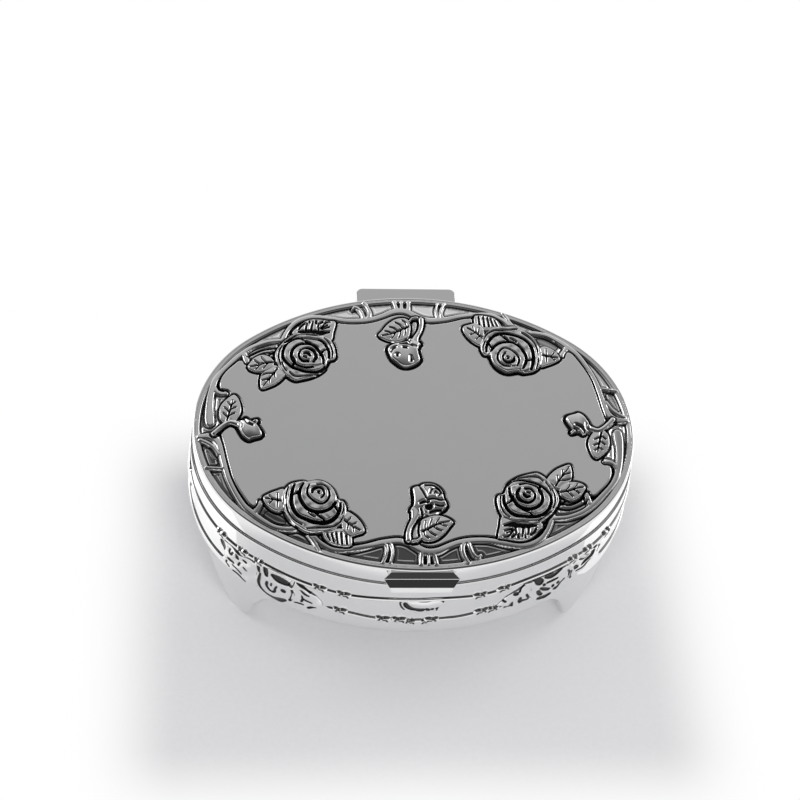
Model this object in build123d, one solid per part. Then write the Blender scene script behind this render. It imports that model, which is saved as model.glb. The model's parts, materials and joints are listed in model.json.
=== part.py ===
from build123d import *
import math
import os

# All sizes are in millimetres and all turns in degrees; X runs to the right, Y to the back, Z up

# Outline of the box seen from above: an oval of four arcs
lid_half_length = 46.0
lid_half_width = 34.5
end_radius = 29.0

# Heights of the body and the lid
foot_height = 9.3
body_depth = 24.2
seam_gap = 0.3
lid_depth = 4.8
lid_rise = 1.2
lid_slope_inset = 6.0

# Thin walls
base_wall = 1.3
lid_wall = 1.0
lid_plate_thickness = 1.0
base_overhang = 0.3
bottom_edge_radius = 8.5

# Ring inside the seam that guides the closing lid
lip_thickness = 1.1
lip_rise = 1.5
lip_depth = 2.5
lip_clearance = 0.3

# Velvet lining and pads
lining_thickness = 1.0
lining_clearance = 0.3
floor_pad_thickness = 3.0
lid_pad_thickness = 1.4

# Bead and waving vine round the lid plate
rim_bead_width = 1.0
rim_bead_height = 0.5
vine_width = 1.3
vine_height = 0.4
vine_bend_radius = 2.5
vine_inset = 1.7
vine_swing = 5.0

# Roses, leaves and buds on the lid, each placed by an outward direction and an inset from the rim
lid_rose_radius = 5.8
lid_rose_height = 1.4
lid_leaf_length = 6.4
lid_leaf_width = 3.8
lid_leaf_height = 0.7
lid_bud_radius = 2.9
lid_bud_height = 1.1
spray_leaf_length = 8.2
spray_leaf_width = 4.4
stem_width = 0.9
rose_right_turn = -62.6
rose_right_inset = 11.1
rose_right_leaf_turns = (40, 12, -119)
rose_left_turn = -116.7
rose_left_inset = 9.9
rose_left_leaf_turns = (180, -43, -72)
front_bud_turn = -87.2
front_bud_inset = 16.4
front_stem_turn = -111
front_stem_length = 9.4
front_leaf_turn = 133
left_bud_turn = -176.6
left_bud_inset = 12.0
left_stem_turn = 175
left_stem_length = 6.5
left_leaf_turn = -109

# Raised ornament on the wall; a drop is measured down from the seam
rib_width = 0.8
rib_proud = 0.4
upper_rib_drop = 4.9
lower_rib_drop = 12.7
wall_relief_proud = 0.8
wall_rose_turn = 60.4
wall_rose_radius = 4.6
wall_rose_drop = 13.0
wall_leaf_length = 8.0
wall_leaf_width = 4.2
wall_leaf_turns = (-12, 22, 158, 192)
wall_bud_radius = 1.9
wall_bud_drop = 8.6
bud_leaf_length = 4.6
bud_leaf_width = 2.5
bud_leaf_turns = (15, 165)

# Feet under the four corners of the oval
foot_turn = 50.2
foot_tip_width = 2.6
foot_inner_reach = 7.0
foot_outer_reach = 10.0
foot_shoulder_height = 13.5
foot_crown = 1.2
foot_inner_hollow = 1.4
foot_outer_swell = 1.5
foot_thickness = 2.4
foot_lean = 1.9

# Wedge-shaped thumb catch on the front of the lid
catch_length = 15.4
catch_edge_length = 12.2
catch_top_step = 0.15
catch_crease_drop = 1.2
catch_crease_proud = 1.0
catch_face_drop = 2.9
catch_proud = 2.2
catch_bevel = 0.5

# Hinge at the back: two knuckles on the base, one on the lid, a pin through all
knuckle_radius = 1.6
knuckle_wall_gap = 0.1
lid_knuckle_length = 9.0
knuckle_end_gap = 0.3
pin_radius = 0.75
pin_clearance = 0.05
hinge_length = 21.4
hinge_plate_thickness = 1.2
tab_thickness = 1.2
tab_clearance = 0.3
tab_overhang = 0.6
tab_corner_radius = 1.4
open_turn = 100.0
stop_clearance = 0.3
stop_thickness = 0.9

# Arcs of the oval that follow from its length, width and end radius
side_radius = (
    (lid_half_length**2 + lid_half_width**2 - 2 * lid_half_length * end_radius)
    / (2 * (lid_half_width - end_radius))
)
end_centre = lid_half_length - end_radius
side_centre = side_radius - lid_half_width
junction_turn = math.degrees(math.atan2(side_centre, end_centre))

# Levels and seats that follow from the heights and walls
seam_z = foot_height + body_depth
lid_bottom_z = seam_z + seam_gap
lid_top_z = lid_bottom_z + lid_depth
plate_z = lid_top_z + lid_rise
lid_ceiling_z = lid_top_z - lid_plate_thickness
floor_top_z = foot_height + base_wall
base_inner = base_overhang - base_wall
base_inner_radius = bottom_edge_radius - base_wall
lining_floor_z = floor_top_z + lining_clearance
lining_offset = base_inner - lining_clearance
lining_radius = base_inner_radius - lining_clearance
pad_bottom_z = lining_floor_z + lining_thickness + lining_clearance
pad_offset = lining_offset - lining_thickness - lining_clearance
pad_radius = lining_radius - lining_thickness - lining_clearance

# Hinge axis and tab that follow from the wall and the knuckles
hinge_y = lid_half_width + base_overhang + knuckle_wall_gap + knuckle_radius
hinge_z = seam_z
tab_bottom_z = hinge_z + knuckle_radius + tab_clearance
tab_top_z = tab_bottom_z + tab_thickness
tab_reach_y = hinge_y + knuckle_radius + tab_overhang


def oval(offset=0.0):
    """Flat oval face, with its outline moved outwards by offset."""
    end_r = end_radius + offset
    side_r = side_radius + offset
    swing = 2 * junction_turn
    rest = 180 - swing
    right = CenterArc((end_centre, 0), end_r, -junction_turn, swing)
    rear = CenterArc((0, -side_centre), side_r, junction_turn, rest)
    left = CenterArc((-end_centre, 0), end_r, 180 - junction_turn, swing)
    front = CenterArc((0, side_centre), side_r, 180 + junction_turn, rest)
    return make_face([right, rear, left, front])


def oval_point(turn, offset=0.0):
    """Point of the oval, moved outwards by offset, where its outward direction is turn."""
    across = math.cos(math.radians(turn))
    along = math.sin(math.radians(turn))
    if abs(along) > math.sin(math.radians(junction_turn)):
        reach = side_radius + offset
        return reach * across, reach * along - math.copysign(side_centre, along)
    reach = end_radius + offset
    return reach * across + math.copysign(end_centre, across), reach * along


def oval_block(offset, low, high):
    """Upright oval block between two levels."""
    return Pos(0, 0, low) * extrude(oval(offset), high - low)


def oval_ring(outer, inner, low, high):
    """Upright oval ring between two offsets and two levels."""
    return oval_block(outer, low, high) - oval_block(inner, low, high)


def oval_bowl(offset, radius, low, high):
    """Oval block whose lower edge is rounded."""
    bowl = oval_block(offset, low, high)
    return fillet(bowl.edges().group_by(Axis.Z)[0], radius)


def oval_crown(low_inset, high_inset, low, high):
    """Sloping block that climbs from one oval outline to a smaller one."""
    lower = Pos(0, 0, low) * oval(-low_inset)
    upper = Pos(0, 0, high) * oval(-high_inset)
    return loft([lower, upper], ruled=True)


def wall_plane(turn, level):
    """Plane on the wall, facing outwards in the direction turn, with its local Y upwards."""
    across = math.cos(math.radians(turn))
    along = math.sin(math.radians(turn))
    x, y = oval_point(turn, base_overhang)
    return Plane(origin=(x, y, level), x_dir=(-along, across, 0), z_dir=(across, along, 0))


def corner_turns(turn):
    """Outward directions of the four corners of the oval, by name."""
    return {
        "front_left": 180 + turn,
        "front_right": -turn,
        "rear_left": 180 - turn,
        "rear_right": turn,
    }


def leaf_face(length, width):
    """Pointed leaf along +X, starting at the origin."""
    upper = ThreePointArc((0, 0), (length / 2, width / 2), (length, 0))
    lower = ThreePointArc((length, 0), (length / 2, -width / 2), (0, 0))
    return make_face([upper, lower])


def dome(radius, height, depth):
    """Low round dome above Z = 0 on a round stand that reaches down by depth."""
    ball_radius = (radius**2 + height**2) / (2 * height)
    ball = Pos(0, 0, height - ball_radius) * Sphere(ball_radius)
    cap = ball & Pos(0, 0, height) * Box(3 * radius, 3 * radius, 2 * height)
    return cap + Pos(0, 0, -depth / 2) * Cylinder(radius, depth)


def box_between(low, high):
    """Box between two corners."""
    size = [b - a for a, b in zip(low, high)]
    middle = [(a + b) / 2 for a, b in zip(low, high)]
    return Pos(*middle) * Box(*size)


def largest(shape):
    """The largest solid of a shape that a cut may have split."""
    return max(shape.solids(), key=lambda solid: solid.volume)


def base_shell():
    """Drawn body: upright wall, rounded lower edge and flat floor."""
    outer = oval_bowl(base_overhang, bottom_edge_radius, foot_height, seam_z)
    return outer - oval_bowl(base_inner, base_inner_radius, floor_top_z, seam_z + base_wall)


def seam_lip():
    """Ring seated inside the wall that rises into the closed lid."""
    guide = -lid_wall - lip_clearance
    inner = guide - lip_thickness
    lip = oval_ring(base_inner, inner, seam_z - lip_depth, seam_z)
    return lip + oval_ring(guide, inner, seam_z, seam_z + lip_rise)


def wall_lining():
    """Velvet-covered liner that follows the inside of the body."""
    high = seam_z - lip_depth - lining_clearance
    inner_offset = lining_offset - lining_thickness
    inner_radius = lining_radius - lining_thickness
    inner_low = lining_floor_z + lining_thickness
    liner = oval_bowl(lining_offset, lining_radius, lining_floor_z, high)
    return liner - oval_bowl(inner_offset, inner_radius, inner_low, high + lining_thickness)


def floor_pad():
    """Pad on the floor of the liner."""
    bowl = oval_bowl(pad_offset, pad_radius, pad_bottom_z, pad_bottom_z + 2 * pad_radius)
    return bowl & oval_block(0, pad_bottom_z, pad_bottom_z + floor_pad_thickness)


def border_rib(drop):
    """Thin rib that runs round the wall at a drop below the seam."""
    low = seam_z - drop - rib_width / 2
    return oval_ring(base_overhang + rib_proud, base_overhang, low, low + rib_width)


def wall_patch(plane, outlines):
    """Raised patch on the wall, cut to outlines drawn on a plane that faces it."""
    patch = Part()
    for outline in outlines:
        patch += extrude(plane * outline, 2 * wall_rose_radius, both=True)
    patch &= oval_ring(base_overhang + wall_relief_proud, base_overhang, foot_height, seam_z)
    for drop in (lower_rib_drop, upper_rib_drop):
        patch -= border_rib(drop)
    return patch


def wall_rose(turn):
    """Rose with two leaves on each side, on a corner of the wall."""
    leaf = leaf_face(wall_leaf_length, wall_leaf_width)
    start = wall_rose_radius - wall_leaf_width / 4
    outlines = [Circle(wall_rose_radius)]
    outlines += [Rot(0, 0, leaf_turn) * (Pos(start, 0) * leaf) for leaf_turn in wall_leaf_turns]
    return wall_patch(wall_plane(turn, seam_z - wall_rose_drop), outlines)


def wall_bud(turn):
    """Bud between two small leaves, in the middle of a side or an end of the wall."""
    leaf = leaf_face(bud_leaf_length, bud_leaf_width)
    outlines = [Circle(wall_bud_radius)]
    outlines += [Rot(0, 0, leaf_turn) * leaf for leaf_turn in bud_leaf_turns]
    return wall_patch(wall_plane(turn, seam_z - wall_bud_drop), outlines)


def foot(turn):
    """Tab under one corner: hollow edge on its inner side, full edge towards the end of the oval."""
    tip = foot_tip_width / 2
    rise = foot_shoulder_height
    outer_way = math.copysign(1, -math.cos(math.radians(turn)) * math.sin(math.radians(turn)))
    outer_x = outer_way * foot_outer_reach
    inner_x = -outer_way * foot_inner_reach
    swell_x = outer_way * ((tip + foot_outer_reach) / 2 + foot_outer_swell)
    hollow_x = -outer_way * ((tip + foot_inner_reach) / 2 - foot_inner_hollow)
    outer_tip = (outer_way * tip, 0)
    inner_tip = (-outer_way * tip, 0)
    ground = Line(inner_tip, outer_tip)
    outer_edge = ThreePointArc(outer_tip, (swell_x, rise / 2), (outer_x, rise))
    crown = ThreePointArc((outer_x, rise), (0, rise + foot_crown), (inner_x, rise))
    inner_edge = ThreePointArc((inner_x, rise), (hollow_x, rise / 2), inner_tip)
    outline = make_face([ground, outer_edge, crown, inner_edge])
    tab = extrude(wall_plane(turn, 0) * outline, 3 * foot_thickness, both=True)
    lean_top_z = foot_height + bottom_edge_radius
    outer_inset = foot_lean - base_overhang
    inner_inset = foot_thickness - base_overhang
    tab &= oval_crown(outer_inset, -base_overhang, 0, lean_top_z)
    tab -= oval_crown(outer_inset + foot_thickness, inner_inset, 0, lean_top_z)
    return tab - oval_bowl(base_overhang, bottom_edge_radius, foot_height, seam_z)


def lid_shell():
    """Wall, sloping border and raised plate of the lid, of even thickness."""
    hollow_inset = rim_bead_width + lid_wall
    shell = oval_block(0, lid_bottom_z, lid_top_z)
    shell += oval_crown(rim_bead_width, lid_slope_inset, lid_top_z, plate_z)
    shell -= oval_block(-lid_wall, lid_bottom_z - lid_wall, lid_ceiling_z)
    return shell - oval_crown(
        hollow_inset, lid_slope_inset, lid_ceiling_z, lid_ceiling_z + lid_rise
    )


def lid_pad():
    """Lining of the lid."""
    high = lid_ceiling_z - lining_clearance
    return oval_block(-lid_wall - lining_clearance, high - lid_pad_thickness, high)


def rim_bead():
    """Bead on the edge of the lid."""
    return oval_ring(0, -rim_bead_width, lid_top_z, lid_top_z + rim_bead_height)


def vine_border():
    """Waving vine round the plate; its second half is the first turned half round."""
    # Each point is an outward direction and how much of its swing the vine takes inwards there
    half = [
        (-177.3, 0.42), (-163.3, 0.58), (-147.5, 0.32), (-132.3, 0.06), (-121.1, 0.02),
        (-114.1, 0.00), (-107.1, 0.04), (-101.2, 0.48), (-94.7, 0.98), (-89.4, 0.64),
        (-84.4, 0.92), (-77.3, 0.82), (-70.6, 0.12), (-64.5, 0.10), (-57.3, 0.14),
        (-45.0, 0.14), (-30.1, 0.20), (-18.3, 0.36), (-6.8, 0.38),
    ]
    whole = half + [(turn + 180, share) for turn, share in half]
    points = [oval_point(turn, -vine_inset - vine_swing * share) for turn, share in whole]
    line = make_face(FilletPolyline(*points, radius=vine_bend_radius, close=True))
    band = offset(line, vine_width / 2) - offset(line, -vine_width / 2)
    return Pos(0, 0, lid_top_z) * extrude(band, lid_rise + vine_height)


def lid_leaf(length, width):
    """Leaf with its stand on the sloping border."""
    return Pos(0, 0, -lid_rise) * extrude(leaf_face(length, width), lid_rise + lid_leaf_height)


def lid_rose(leaf_turns):
    """Open rose with its leaves, about its own middle."""
    leaf = Pos(lid_rose_radius - lid_leaf_width / 3, 0, 0) * lid_leaf(
        lid_leaf_length, lid_leaf_width
    )
    spray = dome(lid_rose_radius, lid_rose_height, lid_rise)
    for turn in leaf_turns:
        spray += Rot(0, 0, turn) * leaf
    return spray


def lid_bud(stem_turn, stem_length, leaf_turn):
    """Closed bud on a stem that ends in one leaf, about the middle of the bud."""
    half = stem_width / 2
    stem = box_between((0, -half, -lid_rise), (stem_length, half, lid_leaf_height))
    leaf = Rot(0, 0, leaf_turn) * lid_leaf(spray_leaf_length, spray_leaf_width)
    stem += Pos(stem_length, 0, 0) * leaf
    return dome(lid_bud_radius, lid_bud_height, lid_rise) + Rot(0, 0, stem_turn) * stem


def lid_ornaments():
    """The vine and the sprays on the lid; opposite sprays are the same turned half round."""
    shell = lid_shell()
    vine = vine_border()
    rose_right = lid_rose(rose_right_leaf_turns)
    rose_left = lid_rose(rose_left_leaf_turns)
    front_bud = lid_bud(front_stem_turn, front_stem_length, front_leaf_turn)
    left_bud = lid_bud(left_stem_turn, left_stem_length, left_leaf_turn)
    rose_right_place = oval_point(rose_right_turn, -rose_right_inset)
    rose_left_place = oval_point(rose_left_turn, -rose_left_inset)
    front_bud_place = oval_point(front_bud_turn, -front_bud_inset)
    left_bud_place = oval_point(left_bud_turn, -left_bud_inset)
    sprays = [
        ("lid_rose_front_right", "lid_rose_rear_left", rose_right_place, rose_right),
        ("lid_rose_front_left", "lid_rose_rear_right", rose_left_place, rose_left),
        ("lid_bud_front", "lid_bud_rear", front_bud_place, front_bud),
        ("lid_bud_left", "lid_bud_right", left_bud_place, left_bud),
    ]
    found = {"lid_vine_border": largest(vine - shell)}
    for near_name, far_name, place, spray in sprays:
        near = Pos(*place, plate_z) * spray
        found[near_name] = largest(near - shell - vine)
        found[far_name] = largest(Rot(0, 0, 180) * near - shell - vine)
    return found


def thumb_catch():
    """Six-sided wedge: its face slopes outwards and down so that a thumb can lift it."""
    crease_z = lid_top_z - catch_crease_drop
    face_z = lid_top_z - catch_face_drop
    side = [
        (lid_wall, lid_top_z),
        (-catch_top_step, lid_top_z),
        (-catch_crease_proud, crease_z),
        (-catch_proud, face_z),
        (-catch_proud, lid_bottom_z + catch_bevel),
        (-catch_proud + catch_bevel, lid_bottom_z),
        (lid_wall, lid_bottom_z),
    ]
    profile = make_face(Polyline(*[(y - lid_half_width, z) for y, z in side], close=True))
    wedge = extrude(Plane.YZ * profile, catch_length / 2, both=True)
    half = catch_length / 2
    edge = catch_edge_length / 2
    front = [
        (-edge, lid_top_z),
        (edge, lid_top_z),
        (half, crease_z),
        (edge, lid_bottom_z),
        (-edge, lid_bottom_z),
        (-half, crease_z),
    ]
    outline = make_face(Polyline(*front, close=True))
    wedge &= extrude(Plane.XZ * outline, 2 * lid_half_width, both=True)
    return wedge - oval_block(0, lid_bottom_z, lid_top_z)


def hinge_bar(radius, low_x, high_x):
    """Round bar on the hinge axis."""
    middle = ((low_x + high_x) / 2, hinge_y, hinge_z)
    return Pos(*middle) * (Rot(0, 90, 0) * Cylinder(radius, high_x - low_x))


def hinge_pin():
    """Pin through the three knuckles."""
    return hinge_bar(pin_radius, -hinge_length / 2, hinge_length / 2)


def open_tab_edge():
    """Where the far top edge of the tab lies, from the hinge axis, with the lid fully open."""
    turn = math.radians(open_turn)
    reach = tab_reach_y - hinge_y
    rise = tab_top_z - hinge_z
    back = reach * math.cos(turn) + rise * math.sin(turn)
    up = rise * math.cos(turn) - reach * math.sin(turn)
    return back, up


def hinge_base_bracket():
    """Ledge that stops the open lid, with the two outer knuckles on it."""
    half = hinge_length / 2
    gap = lid_knuckle_length / 2 + knuckle_end_gap
    back, up = open_tab_edge()
    high = hinge_z + up - stop_clearance
    low = high - stop_thickness
    wall_y = lid_half_width - hinge_plate_thickness
    bracket = box_between((-half, wall_y, low), (half, hinge_y + back, high))
    for side in (-1, 1):
        low_x, high_x = sorted((side * gap, side * half))
        bracket += box_between((low_x, wall_y, low), (high_x, hinge_y, hinge_z - pin_radius))
        bracket += hinge_bar(knuckle_radius, low_x, high_x)
    bracket -= oval_block(base_overhang, foot_height, seam_z)
    return bracket - hinge_bar(pin_radius + pin_clearance, -half, half)


def hinge_lid_leaf():
    """Flat tab behind the lid and the middle knuckle under it."""
    half = hinge_length / 2
    reach = lid_knuckle_length / 2
    wall_y = lid_half_width - hinge_plate_thickness
    tab = box_between((-half, wall_y, tab_bottom_z), (half, tab_reach_y, tab_top_z))
    corners = tab.edges().filter_by(Axis.Z).group_by(Axis.Y)[-1]
    leaf = fillet(corners, tab_corner_radius)
    leaf += box_between((-reach, wall_y, hinge_z + pin_radius), (reach, hinge_y, tab_bottom_z))
    leaf -= oval_block(0, seam_z, lid_top_z)
    leaf += hinge_bar(knuckle_radius, -reach, reach)
    return leaf - hinge_bar(pin_radius + pin_clearance, -half, half)


def build_parts():
    """Every piece by name, about the middle of the oval."""
    parts = {
        "base_shell": base_shell(),
        "seam_lip": seam_lip(),
        "wall_lining": wall_lining(),
        "floor_pad": floor_pad(),
        "upper_border_rib": border_rib(upper_rib_drop),
        "lower_border_rib": border_rib(lower_rib_drop),
        "wall_bud_front": wall_bud(-90),
        "wall_bud_rear": wall_bud(90),
        "wall_bud_left": wall_bud(180),
        "wall_bud_right": wall_bud(0),
        "hinge_base_bracket": hinge_base_bracket(),
        "hinge_pin": hinge_pin(),
        "lid_shell": lid_shell(),
        "lid_pad": lid_pad(),
        "lid_rim_bead": rim_bead(),
        "thumb_catch": thumb_catch(),
        "hinge_lid_leaf": hinge_lid_leaf(),
    }
    for corner, turn in corner_turns(foot_turn).items():
        parts["foot_" + corner] = foot(turn)
    for corner, turn in corner_turns(wall_rose_turn).items():
        parts["wall_rose_" + corner] = wall_rose(turn)
    parts.update(lid_ornaments())
    return parts


# The origin lies on the ground, under the middle of the whole part with its catch and hinge
front_reach = lid_half_width + catch_proud
rear_reach = hinge_y + open_tab_edge()[0]
oval_shift = (front_reach - rear_reach) / 2
os.makedirs("parts", exist_ok=True)
for name, piece in build_parts().items():
    export_step(Pos(0, oval_shift, 0) * piece, "parts/" + name + ".step")
print("middle of the oval at y", round(oval_shift, 3))
print("hinge axis at y", round(hinge_y + oval_shift, 3), "z", round(hinge_z, 3))
print("plate at z", round(plate_z, 3), "floor pad top at z", pad_bottom_z + floor_pad_thickness)
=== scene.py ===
import json
import math

import bmesh
import bpy
import numpy as np
from mathutils import Matrix, Vector
from mathutils.geometry import delaunay_2d_cdt


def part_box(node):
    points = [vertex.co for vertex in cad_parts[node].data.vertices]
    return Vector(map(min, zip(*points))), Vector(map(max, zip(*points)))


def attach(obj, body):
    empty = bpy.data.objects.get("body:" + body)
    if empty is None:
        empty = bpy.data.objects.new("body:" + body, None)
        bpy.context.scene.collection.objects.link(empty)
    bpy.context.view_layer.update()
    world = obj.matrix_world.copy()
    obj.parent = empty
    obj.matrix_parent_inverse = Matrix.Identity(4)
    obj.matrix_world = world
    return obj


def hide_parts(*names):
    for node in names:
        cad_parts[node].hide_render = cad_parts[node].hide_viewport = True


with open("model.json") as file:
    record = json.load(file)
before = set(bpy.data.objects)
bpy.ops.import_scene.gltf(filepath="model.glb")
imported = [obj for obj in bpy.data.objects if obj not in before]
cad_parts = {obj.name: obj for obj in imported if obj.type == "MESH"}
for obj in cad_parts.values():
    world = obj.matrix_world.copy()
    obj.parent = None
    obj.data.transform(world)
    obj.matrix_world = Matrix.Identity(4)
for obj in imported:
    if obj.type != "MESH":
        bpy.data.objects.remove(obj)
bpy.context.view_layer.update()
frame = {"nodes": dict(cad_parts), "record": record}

# Lengths are in millimetres about the middle of the oval, and become metres as meshes are made:
# +x runs along the box, +y from the catch to the hinge, +z up


def levels(node):
    """Lowest and highest level of a plain piece."""
    return [corner.z * 1000 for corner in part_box(node)]


base_low, base_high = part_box("base_shell")
middle_y = (base_low.y + base_high.y) / 2
underside_z, seam_z = levels("base_shell")
lid_bottom_z, plate_z = levels("lid_shell")
rim_z, bead_top_z = levels("lid_rim_bead")
relief_top_z = levels("lid_rose_front_right")[1]

# Outline of the lid: an oval of four arcs
lid_half_length = 46.0
lid_half_width = 34.5
end_radius = 29.0
side_radius = (
    (lid_half_length**2 + lid_half_width**2 - 2 * lid_half_length * end_radius)
    / (2 * (lid_half_width - end_radius))
)
end_centre = lid_half_length - end_radius
side_centre = side_radius - lid_half_width
junction = math.atan2(side_centre, end_centre)
side_run = side_radius * (math.pi / 2 - junction)
quarter_run = side_run + end_radius * junction

# Lid
lid_wall = 1.0
slope_inset = 6.0
bead_width = 1.0
cover_step = 0.134
relief_step = 0.1
relief_foot = plate_z - 0.45
relief_floor = plate_z - 1.3
petal_ripple = 0.06
petal_levels = (0.5, 0.85, 1.15, relief_top_z - plate_z)
rose_cut = 0.55
vein_cut = 0.3
outline_groove = 0.56
groove_depth = 0.4

# Body
base_overhang = 0.3
base_wall = 1.3
bottom_edge_radius = 8.5
bottom_edge_z = underside_z + bottom_edge_radius
seam_count = 600
ring_count = 480
lip_clearance = 0.3
lip_thickness = 1.1
lining_clearance = 0.3
lining_thickness = 1.0
upper_rib_z = seam_z - 4.9
lower_rib_z = seam_z - 12.7
rib_width = 1.0
rib_proud = 0.36
wall_proud = 0.8
wall_foot = -0.15
wall_floor = wall_foot - 0.15
wall_step = 0.1
bowl_depth = 0.06
pillow_height = 0.12
foot_lean = 1.9
foot_thickness = 2.2
flat_face_area = 1.5e-6


# Points on the oval

def oval_points(turns, offset=0.0):
    """Points of the oval moved outwards by offset, for outward directions in radians."""
    across = np.cos(turns)
    along = np.sin(turns)
    on_side = np.abs(along) > math.sin(junction)
    reach = np.where(on_side, side_radius, end_radius) + offset
    x = reach * across + np.where(on_side, 0.0, np.copysign(end_centre, across))
    y = reach * along - np.where(on_side, np.copysign(side_centre, along), 0.0)
    return x, y


def oval_walk(count):
    """Outward directions spaced evenly along the oval from the front middle, anticlockwise, with
    the run of each from the nearer middle, front or rear."""
    end = end_radius * 2 * junction
    whole = 4 * side_run + 2 * end
    walk = (np.arange(count) + 0.5) * whole / count
    knots = [0, side_run, side_run + end, 3 * side_run + end, 3 * side_run + 2 * end, whole]
    turns = [-math.pi / 2, -junction, junction, math.pi - junction, math.pi + junction, 1.5 * math.pi]
    run = (walk + quarter_run) % (2 * quarter_run) - quarter_run
    return np.interp(walk, knots, turns), run


def oval_inset(x, y):
    """How far inside the outline of the lid each point lies."""
    from_middle = np.abs(x) - end_centre
    aside = np.abs(y)
    in_end = (from_middle > 0) & (np.arctan2(aside, from_middle) < junction)
    from_end = end_radius - np.hypot(from_middle, aside)
    from_side = side_radius - np.hypot(x, aside + side_centre)
    return np.where(in_end, from_end, from_side)


def wall_point(run, offset):
    """Point on the oval at a run along it from the front middle, to the right."""
    away = np.abs(run)
    on_side = -math.pi / 2 + away / side_radius
    on_end = -junction + (away - side_run) / end_radius
    x, y = oval_points(np.where(away <= side_run, on_side, on_end), offset)
    return x * np.where(run < 0, -1.0, 1.0), y


def recede(z):
    """How far the body draws in at a level."""
    drop = np.clip(bottom_edge_z - z, 0, bottom_edge_radius)
    return bottom_edge_radius - np.sqrt(bottom_edge_radius**2 - drop**2)


# Lines drawn on a surface

def dots(*numbers):
    """Points from x and y in tenths of a millimetre."""
    return [(x / 10, y / 10) for x, y in zip(numbers[::2], numbers[1::2])]


def stroke(*numbers):
    """Points with a width, from x and y in tenths and the width in hundredths."""
    triples = zip(numbers[::3], numbers[1::3], numbers[2::3])
    return [(x / 10, y / 10, width / 100) for x, y, width in triples]


def strokes(*rows):
    return [stroke(*row) for row in rows]


def smooth(points, closed=False, steps=6):
    """Smooth line through points; each point may also carry a width."""
    p = np.array(points, float)
    n = len(p)
    spans = n if closed else n - 1
    around = np.arange(-1, n + 2)
    p = p[around % n if closed else np.clip(around, 0, n - 1)]
    out = []
    for k in range(spans):
        a, b, c, d = p[k:k + 4]
        for t in np.arange(steps) / steps:
            out.append(
                0.5 * (2 * b + (c - a) * t + (2 * a - 5 * b + 4 * c - d) * t**2
                       + (3 * b - a - 3 * c + d) * t**3)
            )
    if not closed:
        out.append(p[spans + 1])
    return np.array(out)


def half_turned(points):
    """The same line turned half round about the middle of the oval."""
    return [(-p[0], -p[1], *p[2:]) for p in points]


def rise(x, low, high):
    """Smooth step from 0 at low to 1 at high."""
    t = np.clip((x - low) / (high - low), 0, 1)
    return t * t * (3 - 2 * t)


class Grid:
    """Square grid on which heights are drawn."""

    def __init__(self, low, high, step):
        self.step = step
        self.x0, self.y0 = low
        xs = np.arange(low[0], high[0] + step / 2, step)
        ys = np.arange(low[1], high[1] + step / 2, step)
        self.x, self.y = np.meshgrid(xs, ys, indexing="ij")
        self.shape = self.x.shape

    def window(self, xs, ys, far=0.0):
        """Part of the grid round some points."""
        i0 = max(0, int((min(xs) - far - self.x0) / self.step))
        i1 = min(self.shape[0], int((max(xs) + far - self.x0) / self.step) + 2)
        j0 = max(0, int((min(ys) - far - self.y0) / self.step))
        j1 = min(self.shape[1], int((max(ys) + far - self.y0) / self.step) + 2)
        return np.s_[i0:max(i0, i1), j0:max(j0, j1)]

    def away(self, line, reach=1.0, closed=False):
        """Distance from a line less half its width there, cut off at reach."""
        p = np.array(line, float)
        if closed:
            p = np.vstack([p, p[:1]])
        if p.shape[1] == 2:
            p = np.column_stack([p, np.zeros(len(p))])
        out = np.full(self.shape, float(reach))
        far = reach + p[:, 2].max() / 2
        for a, b in zip(p[:-1], p[1:]):
            part = self.window((a[0], b[0]), (a[1], b[1]), far)
            px = self.x[part] - a[0]
            py = self.y[part] - a[1]
            dx, dy = b[0] - a[0], b[1] - a[1]
            t = np.clip((px * dx + py * dy) / max(dx * dx + dy * dy, 1e-12), 0, 1)
            gap = np.hypot(px - t * dx, py - t * dy) - (a[2] + (b[2] - a[2]) * t) / 2
            out[part] = np.minimum(out[part], gap)
        return out

    def inside(self, outline):
        """Where the grid lies inside a closed line."""
        p = np.array(outline, float)[:, :2]
        found = np.zeros(self.shape, bool)
        part = self.window(p[:, 0], p[:, 1])
        x = self.x[part]
        y = self.y[part]
        for a, b in zip(p, np.roll(p, -1, axis=0)):
            if a[1] != b[1]:
                edge_x = (b[0] - a[0]) * (y - a[1]) / (b[1] - a[1]) + a[0]
                found[part] ^= ((a[1] > y) != (b[1] > y)) & (x < edge_x)
        return found

    def signed(self, outline, reach=1.0):
        """Distance from a closed line, negative inside it, cut off at reach on both sides."""
        gap = self.away(outline, reach, closed=True)
        return np.where(self.inside(outline), -gap, gap)


def spread(heights, cells):
    """Heights averaged over a square of cells on each side."""
    total = np.cumsum(np.cumsum(np.pad(heights, cells, mode="edge"), 0), 1)
    total = np.pad(total, ((1, 0), (1, 0)))
    n = 2 * cells + 1
    return (total[n:, n:] - total[:-n, n:] - total[n:, :-n] + total[:-n, :-n]) / n**2


# Materials

def feed(tree, node, inputs):
    """Sets sockets of a node to values, or links them to the outputs that feed them."""
    for socket, value in inputs.items():
        if isinstance(value, bpy.types.NodeSocket):
            tree.links.new(value, node.inputs[socket])
        else:
            node.inputs[socket].default_value = value


def add(tree, kind, inputs, output=0, **settings):
    """Output of a new shader node."""
    node = tree.nodes.new("ShaderNode" + kind)
    for name, value in settings.items():
        setattr(node, name, value)
    feed(tree, node, inputs)
    return node.outputs[output]


def mixed(tree, share, first, second, **settings):
    """Colour between two colours."""
    inputs = {0: share}
    for socket, colour in ((6, first), (7, second)):
        inputs[socket] = colour if isinstance(colour, bpy.types.NodeSocket) else (*colour, 1)
    return add(tree, "Mix", inputs, 2, data_type="RGBA", **settings)


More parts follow.
